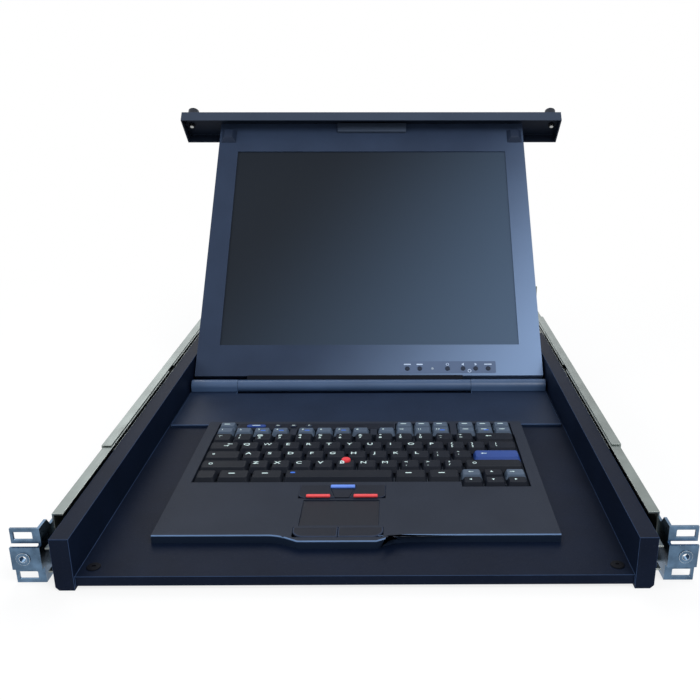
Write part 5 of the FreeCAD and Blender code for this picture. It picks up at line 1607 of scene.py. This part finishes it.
@dataclass
class Stage:
    """Floor, light and camera.

    The floor fades to the white background between floor_fade's distances.
    """

    floor_level: float
    lens: float = 42.3
    eye: Point = (0.0269, -0.5068, 0.3232)
    pitch: float = 71.33
    yaw: float = -0.39
    shift: float = -0.0693
    floor_size: float = 24.0
    floor_drop: float = 0.4 * MM
    floor_fade: tuple[float, float] = (0.3, 1.1)
    floor_white: float = 0.8
    sky_tint: tuple[float, ...] = (0.92, 0.95, 1.0, 1)
    sky_strength: float = 0.55
    lamps: list[tuple[str, Point, Point, float, float]] = field(default_factory=lambda: [
        ("key_light", (0.75, -0.95, 1.55), (0, 0.25, 0.05), 0.9, 22.0),
        ("rear_light", (-0.2, 1.9, 1.5), (0, 0.3, 0), 1.6, 20.0),
        ("side_light", (-1.6, -0.1, 0.9), (0, 0.2, 0), 1.0, 8.0),
    ])

    def build(self) -> None:
        """Make the floor, the light and the camera."""
        self._floor()
        self._world()
        for lamp in self.lamps:
            self._lamp(*lamp)
        self._camera()
        bpy.context.scene.view_settings.view_transform = "Standard"

    def _floor(self) -> None:
        """Lay a wide pale floor under the drawer."""
        floor = shift(plate(self.floor_size, self.floor_size), (0, 0, self.floor_level - self.floor_drop))
        floor.name = "studio_floor"
        made = bpy.data.materials.new("studio_floor")
        made.use_nodes = True
        tree = made.node_tree
        tree.nodes.clear()
        spread = tree.nodes.new("ShaderNodeVectorMath")
        spread.operation = "LENGTH"
        tree.links.new(tree.nodes.new("ShaderNodeTexCoord").outputs["Object"], spread.inputs[0])
        fade = add_node(tree, "ShaderNodeMapRange", {
            "Value": spread.outputs["Value"], "From Min": self.floor_fade[0], "From Max": self.floor_fade[1],
            "To Min": self.floor_white, "To Max": 1.0})
        share = combine(tree, "MULTIPLY", fade.outputs["Result"], seen_rays(tree))
        paper = add_node(tree, "ShaderNodeBsdfDiffuse", {"Color": (0.9, 0.9, 0.9, 1)})
        mix_into(tree, "ShaderNodeOutputMaterial", share, paper, tree.nodes.new("ShaderNodeEmission"))
        floor.data.materials.append(made)
        floor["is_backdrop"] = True

    def _world(self) -> None:
        """Light the scene softly from all round, with a white background."""
        world = bpy.data.worlds.new("studio")
        bpy.context.scene.world = world
        world.use_nodes = True
        tree = world.node_tree
        tree.nodes.clear()
        soft = add_node(tree, "ShaderNodeBackground", {"Color": self.sky_tint, "Strength": self.sky_strength})
        white = add_node(tree, "ShaderNodeBackground", {"Color": (1, 1, 1, 1), "Strength": 1.0})
        mix_into(tree, "ShaderNodeOutputWorld", seen_rays(tree), soft, white)

    def _lamp(self, name: str, eye: Point, target: Point, size: float, power: float) -> None:
        """Hang one soft square lamp.

        Args:
            name: The lamp's name.
            eye: Where it hangs.
            target: The point it faces.
            size: Its width in metres.
            power: Its power in watts.
        """
        deselect()
        bpy.ops.object.light_add(type="AREA", location=eye)
        lamp = bpy.context.object
        lamp.name = name
        lamp.data.energy = power
        lamp.data.size = size
        aim = Vector(target) - Vector(eye)
        lamp.rotation_euler = aim.to_track_quat("-Z", "Y").to_euler()

    def _camera(self) -> None:
        """Stand the camera in front of the drawer, a little above it."""
        deselect()
        turn = (math.radians(self.pitch), 0, math.radians(self.yaw))
        bpy.ops.object.camera_add(location=self.eye, rotation=turn)
        camera = bpy.context.object
        camera.name = "front_camera"
        camera.data.lens = self.lens
        camera.data.sensor_width = 36
        camera.data.shift_x = self.shift
        camera.data.clip_start = 0.01
        bpy.context.scene.camera = camera


def main() -> None:
    """Build the drawer's looks in order."""
    logging.basicConfig(level=logging.INFO, format="%(message)s")
    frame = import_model()
    solid_box = [list(corner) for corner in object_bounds()]
    RackSide(frame).build()
    Tray(frame).build()
    Display(frame).build()
    Keyboard(frame).build()
    Stage(solid_box[0][2]).build()


if __name__ == "__main__":
    main()
